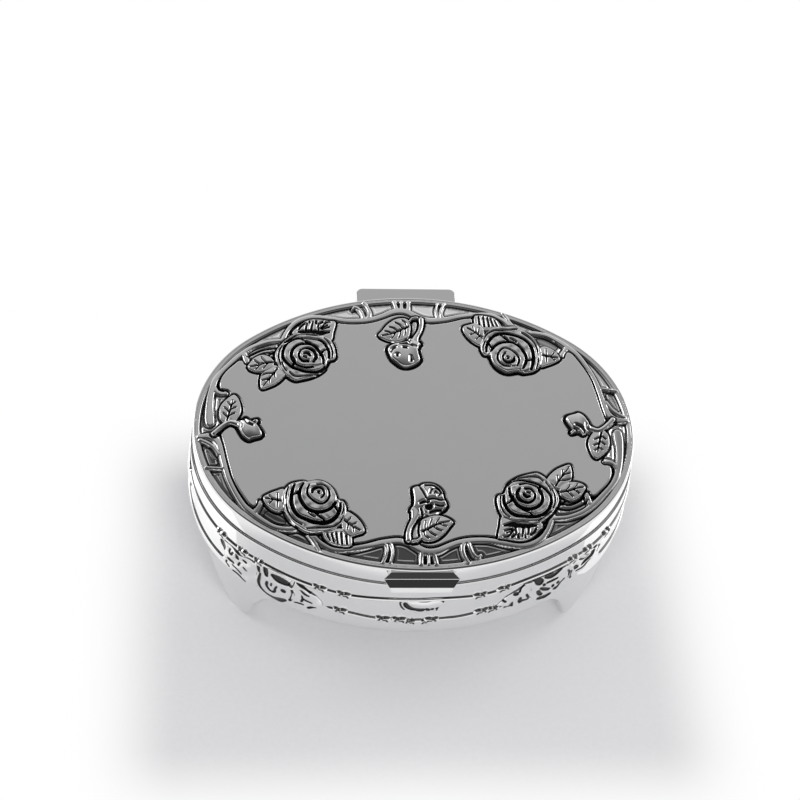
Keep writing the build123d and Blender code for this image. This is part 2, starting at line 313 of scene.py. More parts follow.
def calc(tree, operation, *values, **settings):
    return add(tree, "Math", dict(enumerate(values)), operation=operation, **settings)


def noise(tree, place, scale, detail):
    inputs = {"Vector": place, "Scale": scale, "Detail": detail}
    return add(tree, "TexNoise", inputs, "Fac")


def band(tree, value, low, high, first=0.0, last=1.0, kind="SMOOTHSTEP"):
    """Value that goes from first to last as another goes from low to high."""
    inputs = {"Value": value, "From Min": low, "From Max": high, "To Min": first, "To Max": last}
    return add(tree, "MapRange", inputs, "Result", interpolation_type=kind)


def new_material(name):
    material = bpy.data.materials.new(name)
    material.use_nodes = True
    tree = material.node_tree
    place = add(tree, "TexCoord", {}, "Object")
    return material, tree, tree.nodes["Principled BSDF"], place


def silver_material(name, tone, roughness, wave, painted_shade_tone=None):
    """Polished silver plate; where the mesh marks hollows its colour is painted dark and duller, as
    painted shade and dark reflection with some tarnish.
    """
    material, tree, shader, place = new_material(name)
    cloud = noise(tree, place, 260.0, 4.0)
    haze = band(tree, cloud, 0.3, 0.7, roughness * 0.8, roughness * 1.3, "LINEAR")
    fine = noise(tree, place, 900.0, 2.0)
    bump = add(tree, "Bump", {"Strength": 0.35, "Distance": wave, "Height": fine})
    tint = mixed(tree, cloud, [c * 0.97 for c in tone], tone)
    if painted_shade_tone:
        # The hollow attribute paints shade and dark reflection into grooves and hollows, with some tarnish
        mark = add(tree, "Attribute", {}, "Fac", attribute_name="hollow")
        tint = mixed(tree, mark, tint, painted_shade_tone)
        haze = calc(tree, "MULTIPLY_ADD", mark, 0.3, haze)
    feed(tree, shader, {"Metallic": 1.0, "Base Color": tint, "Roughness": haze, "Normal": bump})
    return material


def velvet_material(name, tone):
    """Short-pile velvet with a soft nap."""
    material, tree, shader, place = new_material(name)
    pile = noise(tree, place, 2600.0, 3.0)
    nap = noise(tree, place, 120.0, 3.0)
    blend = calc(tree, "MULTIPLY_ADD", pile, 0.5, calc(tree, "MULTIPLY", nap, 0.5))
    shade = mixed(tree, blend, [c * 0.6 for c in tone], [c * 1.5 for c in tone])
    bump = add(tree, "Bump", {"Strength": 0.7, "Distance": 0.0002, "Height": pile})
    feed(tree, shader, {
        "Base Color": shade, "Roughness": 0.95, "Normal": bump,
        "Sheen Weight": 0.6, "Sheen Roughness": 0.4, "Sheen Tint": (0.35, 0.4, 0.8, 1),
    })
    return material


silver_tone = (0.86, 0.86, 0.865)
polished = silver_material("polished_silver", silver_tone, 0.045, 0.0000015)
# Its near-black tone for marked hollows is painted shade and dark reflection, with some tarnish
relief = silver_material("relief_silver", silver_tone, 0.06, 0.000002, (0.012, 0.012, 0.013))
steel = silver_material("drawn_steel", (0.6, 0.6, 0.61), 0.22, 0.000004)
velvet = velvet_material("blue_velvet", (0.012, 0.016, 0.07))


# Meshes

def place_piece(name, mesh, body, material, nodes):
    """Piece that rides on a body and stands for plain pieces."""
    mesh.materials.append(material)
    piece = bpy.data.objects.new(name, mesh)
    bpy.context.scene.collection.objects.link(piece)
    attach(piece, body)
    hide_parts(*nodes)
    return piece


def add_piece(name, points, faces, body, nodes, sharp=None, marks=None,
              material=polished):
    """Smooth closed mesh from points in millimetres about the oval."""
    mesh = bpy.data.meshes.new(name)
    placed = np.asarray(points, float) * 0.001
    placed[:, 1] += middle_y
    mesh.from_pydata(placed.tolist(), [], faces)
    mesh.polygons.foreach_set("use_smooth", [True] * len(mesh.polygons))
    # The marks paint shade and dark reflection into the relief material
    if marks is not None:
        layer = mesh.attributes.new("hollow", "FLOAT", "POINT")
        layer.data.foreach_set("value", np.asarray(marks, np.float32))
    if sharp is not None:
        mesh.set_sharp_from_angle(angle=math.radians(sharp))
    mesh.update()
    return place_piece(name, mesh, body, material, nodes)


def ring_faces(rows, count, closed_rows=False):
    """Faces between rows of points that each run round a closed loop of count points."""
    faces = []
    for r in range(rows if closed_rows else rows - 1):
        s = (r + 1) % rows
        for k in range(count):
            m = (k + 1) % count
            faces.append([r * count + k, r * count + m, s * count + m, s * count + k])
    return faces


def stack_faces(rows, count):
    """Faces of a stack of rings that is closed at both ends."""
    last = (rows - 1) * count
    ends = [list(range(count))[::-1], list(range(last, last + count))]
    return ring_faces(rows, count) + ends


def oval_rows(profile, turns):
    """A ring of points round the oval for each offset and level of a profile."""
    rows = []
    for offset, z in profile:
        x, y = oval_points(turns, offset)
        rows.append(np.column_stack([x, y, z + np.zeros(len(turns))]))
    return np.vstack(rows)


def arc(inset, level, radius, angles):
    """Offsets and levels on an arc that curves in from a wall to a floor."""
    return [(inset - radius * (1 - math.cos(t)), level - radius * math.sin(t)) for t in angles]


def turned_points(points, turned):
    return points * (-1, -1, 1) if turned else points


def cell_edges(cells):
    """Directed boundary edges of a set of grid cells, as pairs of grid corners."""
    padded = np.pad(cells, 1)
    edges = []
    for beside, (a, b, c, d) in (
        (padded[1:-1, :-2], (0, 0, 1, 0)), (padded[2:, 1:-1], (1, 0, 1, 1)),
        (padded[1:-1, 2:], (1, 1, 0, 1)), (padded[:-2, 1:-1], (0, 1, 0, 0)),
    ):
        i, j = np.nonzero(cells & ~beside)
        edges.append(np.column_stack([i + a, j + b, i + c, j + d]))
    return np.vstack(edges)


def grid_surface(grid, heights, keep):
    """Surface over the cells whose corners are all kept: where its points are, the points, the
    faces, and the first and second point of each boundary edge."""
    cells = keep[:-1, :-1] & keep[1:, :-1] & keep[:-1, 1:] & keep[1:, 1:]
    used = np.zeros(grid.shape, bool)
    for i, j in ((0, 0), (1, 0), (0, 1), (1, 1)):
        used[i:i + cells.shape[0], j:j + cells.shape[1]] |= cells
    numbers = np.full(used.shape, -1)
    numbers[used] = np.arange(used.sum())
    points = np.column_stack([grid.x[used], grid.y[used], heights[used]])
    i, j = np.nonzero(cells)
    faces = np.column_stack([
        numbers[i, j], numbers[i + 1, j], numbers[i + 1, j + 1], numbers[i, j + 1]
    ])
    edges = cell_edges(cells)
    first = numbers[edges[:, 0], edges[:, 1]]
    second = numbers[edges[:, 2], edges[:, 3]]
    return cells, used, points, faces, first, second


def boundary_loops(first, second):
    """Closed loops that boundary edges make; none where two loops share a point."""
    following = dict(zip(first.tolist(), second.tolist()))
    loops = []
    left = set(following) if len(following) == len(first) else set()
    while left:
        loop = [min(left)]
        while following[loop[-1]] != loop[0]:
            loop.append(following[loop[-1]])
        left -= set(loop)
        loops.append(loop)
    return loops


def relief_solid(grid, heights, keep, floor, marks):
    """Closed solid below a height field: points, faces and marks; its points below are marked fully dark,
    as painted shade round its foot.
    """
    _, used, top, faces, a, b = grid_surface(grid, heights, keep)
    count = len(top)
    loops = boundary_loops(a, b)
    low = top * (1, 1, 0) + (0, 0, floor)
    if len(loops) == 1:
        ring = loops[0]
        below = {n: count + k for k, n in enumerate(ring)}
        result = faces.tolist()
        result += [[q, p, below[p], below[q]] for p, q in zip(a.tolist(), b.tolist())]
        result.append([below[n] for n in ring[::-1]])
        return np.vstack([top, low[ring]]), result, np.append(marks[used], np.ones(len(ring)))
    result = faces.tolist() + np.column_stack([b, a, a + count, b + count]).tolist()
    result += (faces[:, ::-1] + count).tolist()
    return np.vstack([top, low]), result, np.append(marks[used], np.ones(count))
# Ornaments of the lid as seen from above, in its front half; the rear half is the same turned
# half round. First the rose on the right
rose_right_head = dots(
    179, -152, 187, -139, 207, -125, 232, -117, 248, -115, 264, -127, 276, -144, 286, -165, 288, -185,
    279, -203, 266, -220, 248, -235, 225, -239, 200, -238, 182, -231, 168, -222, 160, -203, 158, -180,
    162, -170, 173, -166
)
rose_right_grooves = strokes(
    [174, -173, 46, 174, -190, 54, 182, -209, 62, 195, -219, 68, 220, -223, 68, 243, -221, 62,
     260, -210, 57, 269, -193, 54, 270, -174, 54, 262, -160, 54, 251, -149, 54, 234, -141, 54,
     212, -136, 54, 193, -139, 49, 183, -149, 41],
    [186, -156, 41, 187, -172, 54, 194, -186, 68, 202, -199, 76, 216, -206, 76, 233, -205, 68,
     248, -194, 59, 252.5, -178, 54, 249, -162, 49, 238, -151, 41, 222, -146, 41, 208, -148, 41],
    [207, -159, 50, 201, -172, 70, 206, -186, 80, 220, -193, 60, 233, -187, 40, 237, -173, 40,
     229, -161, 50, 218, -160, 60],
    [251, -150, 50, 246, -162, 40, 249, -173, 20],
    [176, -194, 20, 186, -189, 35, 192, -176, 50],
    [232, -221, 20, 224, -215, 40, 212, -208, 50],
    [214, -173, 50, 219, -180, 70, 226, -179, 40],
    [222, -169, 40, 227, -171, 30],
    [186, -232, 20, 200, -233, 26, 222, -234, 26, 240, -232, 26, 254, -222, 26, 267, -212, 24],
    [167, -174, 16, 166, -192, 22, 171, -210, 22, 182, -225, 20],
    [196, -132, 14, 220, -127, 20, 246, -126, 24, 257, -136, 20],
    [275, -156, 16, 279, -172, 22, 278, -190, 20, 273, -202, 16],
    [263, -139, 16, 269, -150, 20, 272, -160, 14],
)
rose_right_steps = [[point[:2] for point in groove] for groove in rose_right_grooves[:3]]
rose_right_steps[2][-1] = (21.8, -15.8)
rose_right_leaves = [
    (
        dots(
            266, -129, 282, -109, 300, -98, 316, -93, 320, -105, 319, -124, 313, -137, 290, -156, 273, -143
        ), strokes(
            [283, -146, 30, 294, -129, 26, 303, -116, 22, 313, -101, 14],
            [289, -136, 18, 288, -123, 14],
            [299, -122, 18, 300, -109, 12],
            [291, -133, 20, 304, -133, 16, 315, -129, 12],
            [302, -119, 20, 315, -115, 12],
        ), 0.0,
    ),
    (
        dots(
            293, -148, 316, -136, 337, -140, 345.5, -150, 340, -162, 331, -174, 315, -182, 299, -178,
            289, -165
        ), strokes(
            [292, -162, 30, 310, -159, 26, 325, -153, 20, 339, -150, 14],
            [302, -160, 18, 312, -146, 12],
            [318, -156, 18, 328, -143, 12],
            [306, -160, 20, 316, -174, 14],
            [319, -155, 20, 330, -166, 14],
        ), 0.05,
    ),
    (
        dots(
            167, -220, 161, -243, 156, -270, 172, -274, 200, -278, 220, -273, 237, -258, 250, -240,
            230, -225, 190, -220
        ), strokes(
            [171, -243, 40, 179, -241.5, 70, 188, -240.5, 120, 200, -240.5, 140, 211, -241, 140,
             221, -242, 110, 236, -243, 40],
            [170, -256, 20, 179, -253, 30, 186, -250, 30],
            [174, -261, 20, 181, -257, 30, 188, -253, 40],
            [168, -270, 20, 176, -269, 30, 181, -264, 40, 188, -253, 40],
            [184, -271, 40, 188, -267, 50],
            [193, -249, 40, 194, -259, 40, 192, -265, 30],
            [198, -271, 60, 198, -266, 50],
            [209, -249, 50, 207, -261, 40, 205, -269, 30],
            [212, -267, 30, 212, -271, 50],
            [220, -249, 50, 219, -259, 40, 217, -264, 30],
            [235, -250, 40, 231, -258, 50, 223, -265, 40],
        ), -0.1,
    ),
]

# The rose on the left
rose_left_head = dots(
    -272, -154, -259, -142, -237, -137, -224, -140.5, -203, -137, -187, -144, -174, -158, -168, -174,
    -165, -183, -155, -185, -149, -196, -148, -209, -152, -223, -161, -242, -180, -257, -207, -261,
    -227, -261, -248, -248, -264, -232, -276, -208, -281, -185, -278, -167
)
rose_left_grooves = strokes(
    [-253, -147, 42, -258, -165, 59, -260, -187, 70, -256, -207, 70, -247, -221, 70, -233, -230, 70,
     -212, -238, 84, -193, -239, 90, -178, -232, 78, -168, -220, 64, -162, -205, 50, -161, -193, 36],
    [-235, -147, 34, -242, -162, 50, -243.5, -177, 62, -238, -193, 70, -230, -205, 70, -218, -213, 70,
     -205, -215, 70, -191, -212, 64, -179, -204, 56, -171, -192, 42],
    [-223, -152, 24, -227, -162, 34, -227, -174, 36, -220, -185, 36, -209, -194, 36, -198, -197, 36,
     -188, -189, 34, -183, -176, 32, -185, -163, 30, -194, -153, 28, -208, -151, 22],
    [-218, -172, 30, -216, -164, 60, -209, -159.5, 70, -200, -160, 60, -195, -166, 40, -194, -176, 30,
     -200, -184, 30],
    [-265, -150, 16, -270, -170, 20, -271, -190, 24, -267, -212, 24, -256, -230, 24, -240, -243, 22],
    [-230, -253, 16, -214, -251, 24, -196, -250, 30, -178, -248, 26, -164, -238, 24, -156, -224, 20],
    [-154, -196, 12, -155, -208, 18, -159, -218, 14],
    [-242, -164, 20, -249, -169, 40, -257, -172, 30],
    [-175, -198, 50, -170, -206, 40, -166, -216, 20],
    [-214, -214, 20, -206, -223, 50, -194, -234, 40],
    [-203, -174, 30, -206, -170, 30, -202, -168, 20],
    [-226, -216, 24, -219, -223, 26, -213, -226, 20],
)
rose_left_steps = [
    dots(
        -253, -149, -258, -165, -260, -187, -256, -207, -247, -221, -233, -230, -212, -238, -193, -239,
        -178, -232, -168, -220, -162, -205, -162, -188, -169, -162, -187, -142, -205, -135, -230, -138
    ),
    dots(
        -235, -147, -242, -162, -243.5, -177, -238, -193, -230, -205, -218, -213, -205, -215, -191, -212,
        -179, -204, -171, -192, -169, -174, -177, -156, -192, -143, -215, -140
    ),
    dots(
        -223, -152, -227, -162, -227, -174, -220, -185, -209, -194, -198, -197, -188, -189, -183, -176,
        -185, -163, -194, -153, -208, -150
    ),
]
rose_left_leaves = [
    (
        dots(
            -273, -157, -290, -159.5, -308, -168, -318, -177, -312, -193, -298, -206, -282, -210,
            -270, -195
        ), strokes(
            [-278, -186, 30, -295, -182, 26, -312, -179, 16],
            [-288, -183, 20, -288, -168, 14],
            [-298, -181, 20, -305, -172, 12],
            [-288, -185, 20, -289, -200, 14],
            [-298, -183, 20, -305, -192, 14],
        ), 0.0,
    ),
    (
        dots(
            -150, -210, -134, -218, -121.5, -232.5, -113.5, -250, -115, -261, -128, -266.5, -144, -270,
            -158, -255, -160, -235
        ), strokes(
            [-156, -229, 28, -146, -239, 26, -134, -249, 20, -123, -256, 12],
            [-149, -236, 18, -141, -226, 12],
            [-140, -244, 18, -130, -238, 12],
            [-146, -239, 20, -149, -254, 14],
            [-137, -247, 18, -136, -259, 12],
        ), 0.0,
    ),
    (
        dots(
            -198, -256, -189, -280, -170, -290, -142, -291, -141, -266, -160, -250
        ), strokes(
            [-189, -264, 40, -184, -279, 30],
            [-180, -264, 45, -176, -282, 40],
            [-171, -262, 45, -169, -285, 40],
            [-161, -262, 45, -160, -287, 40],
            [-151, -267, 45, -150, -287, 40],
        ), -0.15,
    ),
]

# Sprays in the middle of the long sides: an open flower in front, a closed bud behind
spray_leaf = (
    dots(
        67.5, -235, 53, -223, 32, -218, 10, -225, 1, -232.5, -3.5, -255, -1, -273, 6, -281, 19, -282,
        33, -277, 48, -264, 60, -247
    ), strokes(
        [2, -258, 26, 15, -252, 30, 28, -244, 28, 43, -238, 22, 59, -234, 12],
        [9, -255, 18, 9, -244, 16, 11, -234, 10],
        [19, -250, 20, 20, -239, 16, 24, -228, 10],
        [31, -243, 18, 34, -234, 14, 39, -227, 10],
        [6, -256, 18, 8, -268, 16, 15, -275, 10],
        [14, -252, 20, 20, -262, 18, 30, -269, 12],
        [26, -245, 20, 33, -253, 18, 43, -257, 12],
        [39, -239, 18, 46, -244, 14, 53, -246, 10],
    ), 0.0,
)
spray_stem = stroke(
    -26, -278, 130, -25.5, -262, 115, -21, -246, 110, -13, -230, 130, -9, -216, 190, -9, -206, 190
)
spray_twig = stroke(
    -17, -282, 80, -7, -280, 70, -1, -273, 60
)
spray_gap = stroke(-13.5, -240, 50, -16, -254, 80, -14, -268, 40)
open_flower = dots(
    -14.5, -156, -9, -150, 2, -147, 10, -142.5, 22, -141.5, 33, -144, 44, -152, 51, -164, 53, -179,
    57.5, -191, 57, -200, 49, -209, 34, -215, 15, -219, 0, -223, -11, -226, -18, -219, -17, -212,
    -21.5, -209, -19, -202, -14, -193, -13, -174
)
open_flower_grooves = strokes(
    [3, -152, 30, 10, -166, 40, 15, -180, 30, 19, -189, 20],
    [13, -150, 24, 26, -150, 26, 39, -156, 26, 48, -168, 20],
    [20, -183, 34, 30, -182, 30, 42, -185, 30, 50, -184, 20],
    [23, -169, 24, 27, -159, 30, 37, -158, 30, 44, -167, 30, 39, -176, 24],
    [31, -169, 20, 34, -165, 26, 37, -169, 20],
    [2, -192, 40, 9, -189, 50, 16, -190, 50],
    [33, -196, 30, 43, -199, 34, 50, -197, 20],
    [3, -204, 30, 5, -214, 36, 4, -222, 30],
    [20, -213, 30, 34, -209, 36, 44, -208, 30],
)
closed_bud = dots(
    -22, -172, -15, -161, -2, -152.5, 12, -149.5, 24, -153, 35, -163, 44, -173, 49, -188, 51, -200,
    45, -209, 30, -216, 12, -220, 4, -229, -8, -229, -16, -226, -22, -219, -25, -212, -19, -204, -19, -190
)
closed_bud_grooves = strokes(
    [0, -166, 50, 1, -176, 20],
    [29, -179, 50, 29.5, -180, 50],
    [9, -199, 30, 16, -200, 30],
    [32, -200, 20, 38, -196, 24, 42, -188, 14],
    [1, -215, 20, 5, -222, 24],
    [-17, -202, 10, -4, -206, 20, 6, -210, 20, 24, -210, 10],
)

# Sprays at the ends
side_leaf = (
    dots(
        -374.5, 79, -390, 67.5, -402.5, 50, -405.5, 32, -403, 16, -392, 6, -375, 8, -367, 17, -359.5, 32,
        -358.5, 48, -364.5, 70
    ), strokes(
        [-389, 12, 26, -385, 28, 28, -381, 44, 24, -377, 62, 14],
        [-386, 24, 20, -373, 31, 14],
        [-382, 40, 20, -370, 46, 12],
        [-379, 52, 16, -371, 59, 10],
        [-387, 20, 20, -397, 31, 14],
        [-384, 34, 20, -394, 45, 12],
        [-380, 49, 16, -387, 58, 10],
    ), 0.0,
)
side_stem = stroke(
    -416, -20, 120, -406, -9, 110, -395, 1.5, 110, -383, 8, 110, -370, 5, 130, -360, 1, 160
)
side_bud = dots(
    -367, 14.5, -357.5, 16, -350, 21, -341.5, 14.5, -331, 17, -325, 17.5, -322, 11, -325, 4, -319, -7.5,
    -314, -20, -318.5, -29, -335, -34.5, -344, -38, -354, -32.5, -362, -21.5, -368, -7, -372, 1
)
side_bud_grooves = strokes(
    [-353, 13, 26, -347, 3, 22, -336, -3, 14],
    [-339, 12, 20, -332, 6, 20, -326, 5, 14],
    [-363, 10, 14, -358, 4, 20, -359, -6, 14],
)

# Edge of the plain plate, from under the left stem along the front to the right leaf
plate_half = dots(
    -402, -19, -400, -30, -395, -52, -390, -80, -384, -108, -379, -128, -368, -154, -350, -186, -341, -196,
    -334, -197, -329, -190, -323, -180, -290, -190, -240, -225, -170, -250, -140, -265, -139, -284,
    -118, -284, -100, -279, -80, -273.5, -50, -269, -34, -271.5, -22, -274, -9, -280, 1, -289,
    17.5, -293.5, 35, -290, 53, -282, 73, -274, 95, -269, 120, -267.5, 140, -268.5, 158, -270, 170, -260,
    200, -240, 260, -210, 310, -175, 346, -159, 353, -166, 358, -170, 366, -167, 375, -158, 383, -150,
    392, -139, 400, -125, 404, -110, 403, -98, 399, -93, 388, -91, 383, -84, 386, -77.5, 393, -60,
    400, -35, 399, -8, 396, 7
)

# Strands of the vine in the front half, and the lines and sunk panels beside it
vine_strands = strokes(
    [-446, -23, 120, -430, -22.5, 150, -417, -26, 170, -408, -39, 140, -403, -56, 120, -398, -80, 120,
     -391.5, -110, 120, -385, -132, 120, -374, -159, 120, -358, -189, 130, -344, -205, 140,
     -322, -225, 130, -295, -243, 120, -268, -249, 120, -248, -248, 120, -232, -256, 120, -216, -266, 120],
    [-232, -256, 100, -223, -267, 100, -213, -284, 90, -202, -306, 90],
    [-216, -266, 110, -202, -283, 120, -175, -297.5, 120, -140, -296, 130, -110, -290.5, 130,
     -80, -282.5, 130, -50, -278.5, 130, -30, -281, 150, -13, -290, 170, 3, -301, 170, 18, -304, 170,
     35, -300.5, 160, 53, -291, 140, 73, -282.5, 130, 95, -277.5, 130, 120, -276, 130, 140, -277, 130,
     170, -283.5, 130, 200, -287.5, 130, 225, -282, 130, 245, -269, 120, 259, -250, 110, 268, -227, 110,
     272, -210, 110],
    [270, -223, 110, 285, -222, 110, 305, -219, 110, 335, -206, 120, 362, -184, 130, 384, -160, 130,
     401, -139, 130, 412, -120, 140, 417, -103, 150, 422, -80, 160, 425, -50, 180, 425, -25, 210,
     424, -11, 200],
    [414, -100, 110, 409, -89, 110, 399, -83.5, 110, 392, -84, 110],
    [-444, -31, 90, -431, -38, 100, -418, -49, 100, -407, -68, 90],
    [-432, -99, 80, -418, -101, 85, -400, -103, 80],
    [-333, -207, 130, -327, -197, 120, -322, -187, 120, -319, -179, 110],
    [342, -158, 130, 347, -170, 130, 351, -186, 130],
    [-74, -284, 80, -70, -296, 80, -72, -310, 80, -79, -326, 80],
    [-63, -284, 70, -60, -296, 70, -60, -310, 70, -64, -326, 70],
    [2, -303, 120, -1, -315, 100, -2, -330, 100],
    [13, -304, 90, 13.5, -316, 80, 13.5, -330, 80],
    [23, -303, 120, 26, -315, 100, 29, -330, 100],
    [86, -283, 100, 83, -296, 100, 86, -312, 100, 94, -327, 100],
    [96, -282, 80, 99, -296, 90, 105, -309, 95, 114, -315, 90, 119, -309, 60],
)
panel_grooves = strokes(
    [289, -189, 30, 310, -189, 34, 330, -179, 30, 339, -172, 24],
    [286, -201, 34, 310, -200, 40, 332, -190, 40, 346, -180, 30],
)
panel_left = dots(
    -310, -205, -293, -212, -278, -220, -272, -234, -287, -235, -305, -227, -316, -218
)
panel_end = dots(
    -436, -53, -424, -50, -413, -67, -408, -88, -410, -93, -422, -95, -430, -80
)

# Reliefs and knots of the wall, drawn on the unrolled wall: run from the front middle and level.
# First the rose on the left with its leaves
wall_rose = dots(
    -342, 228, -344, 205, -339, 183, -326, 164, -308, 154, -288, 154, -270, 164, -257, 180, -251, 200,
    -252, 218, -259, 230, -268, 240, -262, 255, -275, 266, -300, 269, -320, 268, -344, 266, -350, 250,
    -346, 238
)
wall_rose_strokes = strokes(
    [-332, 234, 34, -334, 215, 57, -335, 198, 63, -331, 183, 69, -322, 170, 115, -310, 163, 172,
     -296, 163, 172, -284, 169, 149, -274, 176, 80],
    [-260, 223, 40, -257, 210, 52, -259, 196, 57, -263, 182, 52],
    [-315, 217, 46, -316, 204, 57, -310, 192, 57, -302, 189, 63, -297, 195, 52, -296, 206, 34,
     -293, 216, 29],
    [-278, 209, 103, -278, 211, 103],
    [-302, 249, 115, -290, 245, 218, -276, 243, 184, -266, 241, 69],
    [-322, 262, 92, -320, 250, 103, -318, 238, 69],
    [-339, 262, 57, -338, 250, 69, -336, 238, 46],
    [-305, 219, 23, -306, 210, 29],
)
wall_leaf_right = dots(
    -254, 260, -240, 253, -225, 242, -208, 230, -196, 215, -193, 200, -202, 186, -218, 174, -235, 168,
    -253, 166, -262, 185, -262, 205, -262, 230
)
wall_leaf_right_strokes = strokes(
    [-241, 233, 39, -234, 227, 65, -224, 225, 39],
    [-238, 214, 26, -236, 204, 39, -238, 193, 39],
    [-234, 204, 39, -227, 199, 52, -217, 199, 39],
    [-252, 179, 39, -242, 183, 52, -234, 183, 26],
    [-222, 179, 52, -214, 183, 78, -206, 188, 39],
    [-250, 257, 26, -238, 247, 45, -221, 237, 39],
)
wall_leaf_left = dots(
    -344, 256, -372, 254, -392, 252, -410, 259, -430, 261, -446, 256, -442, 235, -432, 218, -429, 203,
    -434, 187, -426, 172, -406, 169, -388, 158, -368, 153, -346, 160, -336, 180, -336, 210, -340, 235
)
wall_leaf_left_strokes = strokes(
    [-433, 251, 110, -430, 237, 110, -430, 224, 50],
    [-412, 244, 30, -413, 234, 40, -408, 229, 40, -404, 239, 30],
    [-392, 242, 80, -392, 229, 80],
    [-375, 239, 50, -370, 237, 50],
    [-413, 202, 110, -404, 204, 100],
    [-403, 192, 40, -389, 192, 50, -381, 184, 50],
    [-373, 212, 60, -369, 207, 50],
    [-385, 219, 30, -388, 209, 40],
    [-400, 174, 40, -384, 169, 50, -369, 167, 40],
    [-420, 190, 30, -421, 183, 30, -412, 179, 30],
)

# Bud in the middle
wall_bud = dots(
    -39, 267, -34, 277, -15, 276, 0, 281, 20, 282, 40, 280, 54, 269, 48, 256, 44, 242, 42, 233, 30, 236,
    15, 232, 0, 229, -14, 233, -28, 238, -36, 250
)
wall_bud_strokes = strokes(
    [-26, 265.5, 75, -21, 255.5, 120, -13, 248.5, 120, -3, 246.5, 105, 6, 244.5, 135, 11, 247.5, 75],
    [19, 248.5, 75, 22, 244.5, 75],
    [30, 248.5, 60, 30, 246.5, 60],
    [-33, 276, 20, -37, 266, 30, -33, 252, 30, -27, 242, 20],
    [40, 249.5, 60, 42, 240.5, 52, 42, 234.5, 30],
    [3, 279.5, 75, 17, 279.5, 75, 27, 281.5, 60],
    [41, 282.5, 45, 46, 277.5, 30, 53, 270.5, 52],
)

# The rose on the right with its leaves
far_leaf_near = dots(
    180, 240, 186, 250, 200, 259, 212, 266, 224, 278, 236, 282, 248, 276, 252, 250, 250, 225, 242, 209,
    222, 205, 206, 202, 188, 202, 174, 210, 166, 221, 172, 230
)
far_leaf_near_strokes = strokes(
    [207, 254, 104, 208, 251, 104],
    [215, 257, 45, 217.5, 266, 39, 224, 275, 33],
    [181, 240, 39, 186, 233, 45],
    [169, 220, 52, 177.5, 214, 78, 187.5, 209, 130, 197, 208, 143, 201, 222, 52],
    [221, 228, 39, 221, 216, 91, 227.5, 213, 117, 235, 214, 91],
    [234, 234, 39, 241, 217, 45, 250, 206, 39],
)
far_rose = dots(
    242, 245, 242, 224, 248, 206, 260, 193, 278, 187, 294, 189, 310, 196, 328, 204, 338, 220, 342, 240,
    336, 260, 330, 278, 310, 282, 285, 284, 260, 285, 244, 283, 240, 265
)
far_rose_strokes = strokes(
    [266, 202, 120, 276, 198, 156, 288, 200, 120],
    [259, 234, 72, 263, 223, 84, 268, 215, 72],
    [265, 242, 60, 274, 233, 96, 284, 225, 84],
    [294, 233, 60, 295, 228, 60],
    [306, 236, 60, 307, 232, 60],
    [301, 216, 84, 305, 213, 72, 313, 226, 42, 322, 234, 48],
    [248, 281, 72, 254, 278, 144, 259, 269, 180, 261, 262, 108],
    [274, 279, 96, 283, 275, 156, 293, 273, 132, 310, 279, 60],
    [279, 254, 60, 290, 254, 84, 302, 253, 60],
    [270, 254, 48, 272, 249, 60],
    [330, 259, 36, 335, 249, 48, 334, 232, 36],
)
far_leaf_end = dots(
    326, 279, 350, 283, 380, 287, 410, 287, 432, 282, 432, 260, 423, 243, 404, 228, 380, 218, 355, 209,
    332, 204, 322, 220, 322, 250
)
far_leaf_end_strokes = strokes(
    [344, 278, 78, 346, 274, 78],
    [351, 254, 78, 354, 247, 104],
    [372, 242, 65, 380, 245, 104, 392, 252, 117, 400, 262, 104],
    [376, 281, 65, 379, 277, 65],
    [402, 279, 65, 406, 273, 91],
    [362, 270, 39, 374, 262, 45, 384, 266, 39],
    [360, 226, 39, 376, 230, 39, 394, 239, 39],
    [342, 242, 52, 340, 226, 52, 344, 216, 39],
    [416, 270, 39, 420, 258, 45, 414, 249, 39],
)

# A knot of the ribs about its own middle, and the waves of the two ribs
knot_outline = dots(
    -13, -5, -13.5, 1, -9, 6.5, -2, 7, 2, 5, 6, 7.5, 11.5, 6, 13, 1, 10, -3.5, 5, -5.5, 1, -9.5, -6, -9.5
)
knot_strokes = strokes(
    [-7, -3, 5, -5, 1.5, 14, -0.5, 1.5, 8],
    [5, 3.5, 5, 6, -1, 14, 3, -4, 6],
)
upper_wave = dots(
    -620, -6, -450, -10, -330, -12, -250, -15, -180, -16, -140, -15, -60, -6, 0, -3, 40, -2, 80, -5,
    120, -9, 155, -9, 200, -1, 240, 2, 300, 0, 450, -3, 620, -6
)
lower_wave = dots(
    -620, -6, -440, -16, -200, -4, -140, -3, -80, -8, 0, -6, 50, -4, 90, -4, 130, 1, 180, 2, 440, 0,
    620, -6
)

# Knots of the ribs: run, shift of level and size
upper_knots = [(-44.0, 0.12, 1.28), (-38.0, 0.12, 1.28), (-34.0, 0.0, 1.2), (-20.3, 0.3, 1.36),
               (-15.2, 0.24, 1.36), (12.7, 0.3, 1.31), (17.8, 0.36, 1.34), (34.0, 0.12, 1.28),
               (38.0, 0.12, 1.28), (44.0, 0.12, 1.28)]
lower_knots = [(-15.6, 0.3, 1.34), (-6.7, 0.36, 1.36), (-3.4, 0.42, 1.36), (-1.2, -0.18, 1.2),
               (2.2, -0.3, 1.23), (3.2, 0.24, 1.31), (13.6, 0.48, 1.36), (16.0, 0.3, 1.28)]

# Edges of a foot: run from the front middle and level, from the ground up
foot_inner_edge = dots(
    379, 0, 375, 8, 370, 19, 365, 35, 358, 60, 346, 90, 332, 116, 308, 145, 286, 162, 266, 170
)
foot_outer_edge = dots(
    399, 0, 412, 8, 420, 15, 430, 25, 446, 44, 460, 60, 475, 90, 483, 120, 492, 145, 502, 162,
    510, 170
)
foot_levels = [0.0, 0.12, 0.4, 0.9, 1.6, 2.4, 3.4, 4.4, 5.4, 6.4, 7.4, 8.4, 9.4, 10.4, 11.4, 12.4,
               13.4, 14.4, 15.4, 16.2, 17.0]

# Relief of the lid

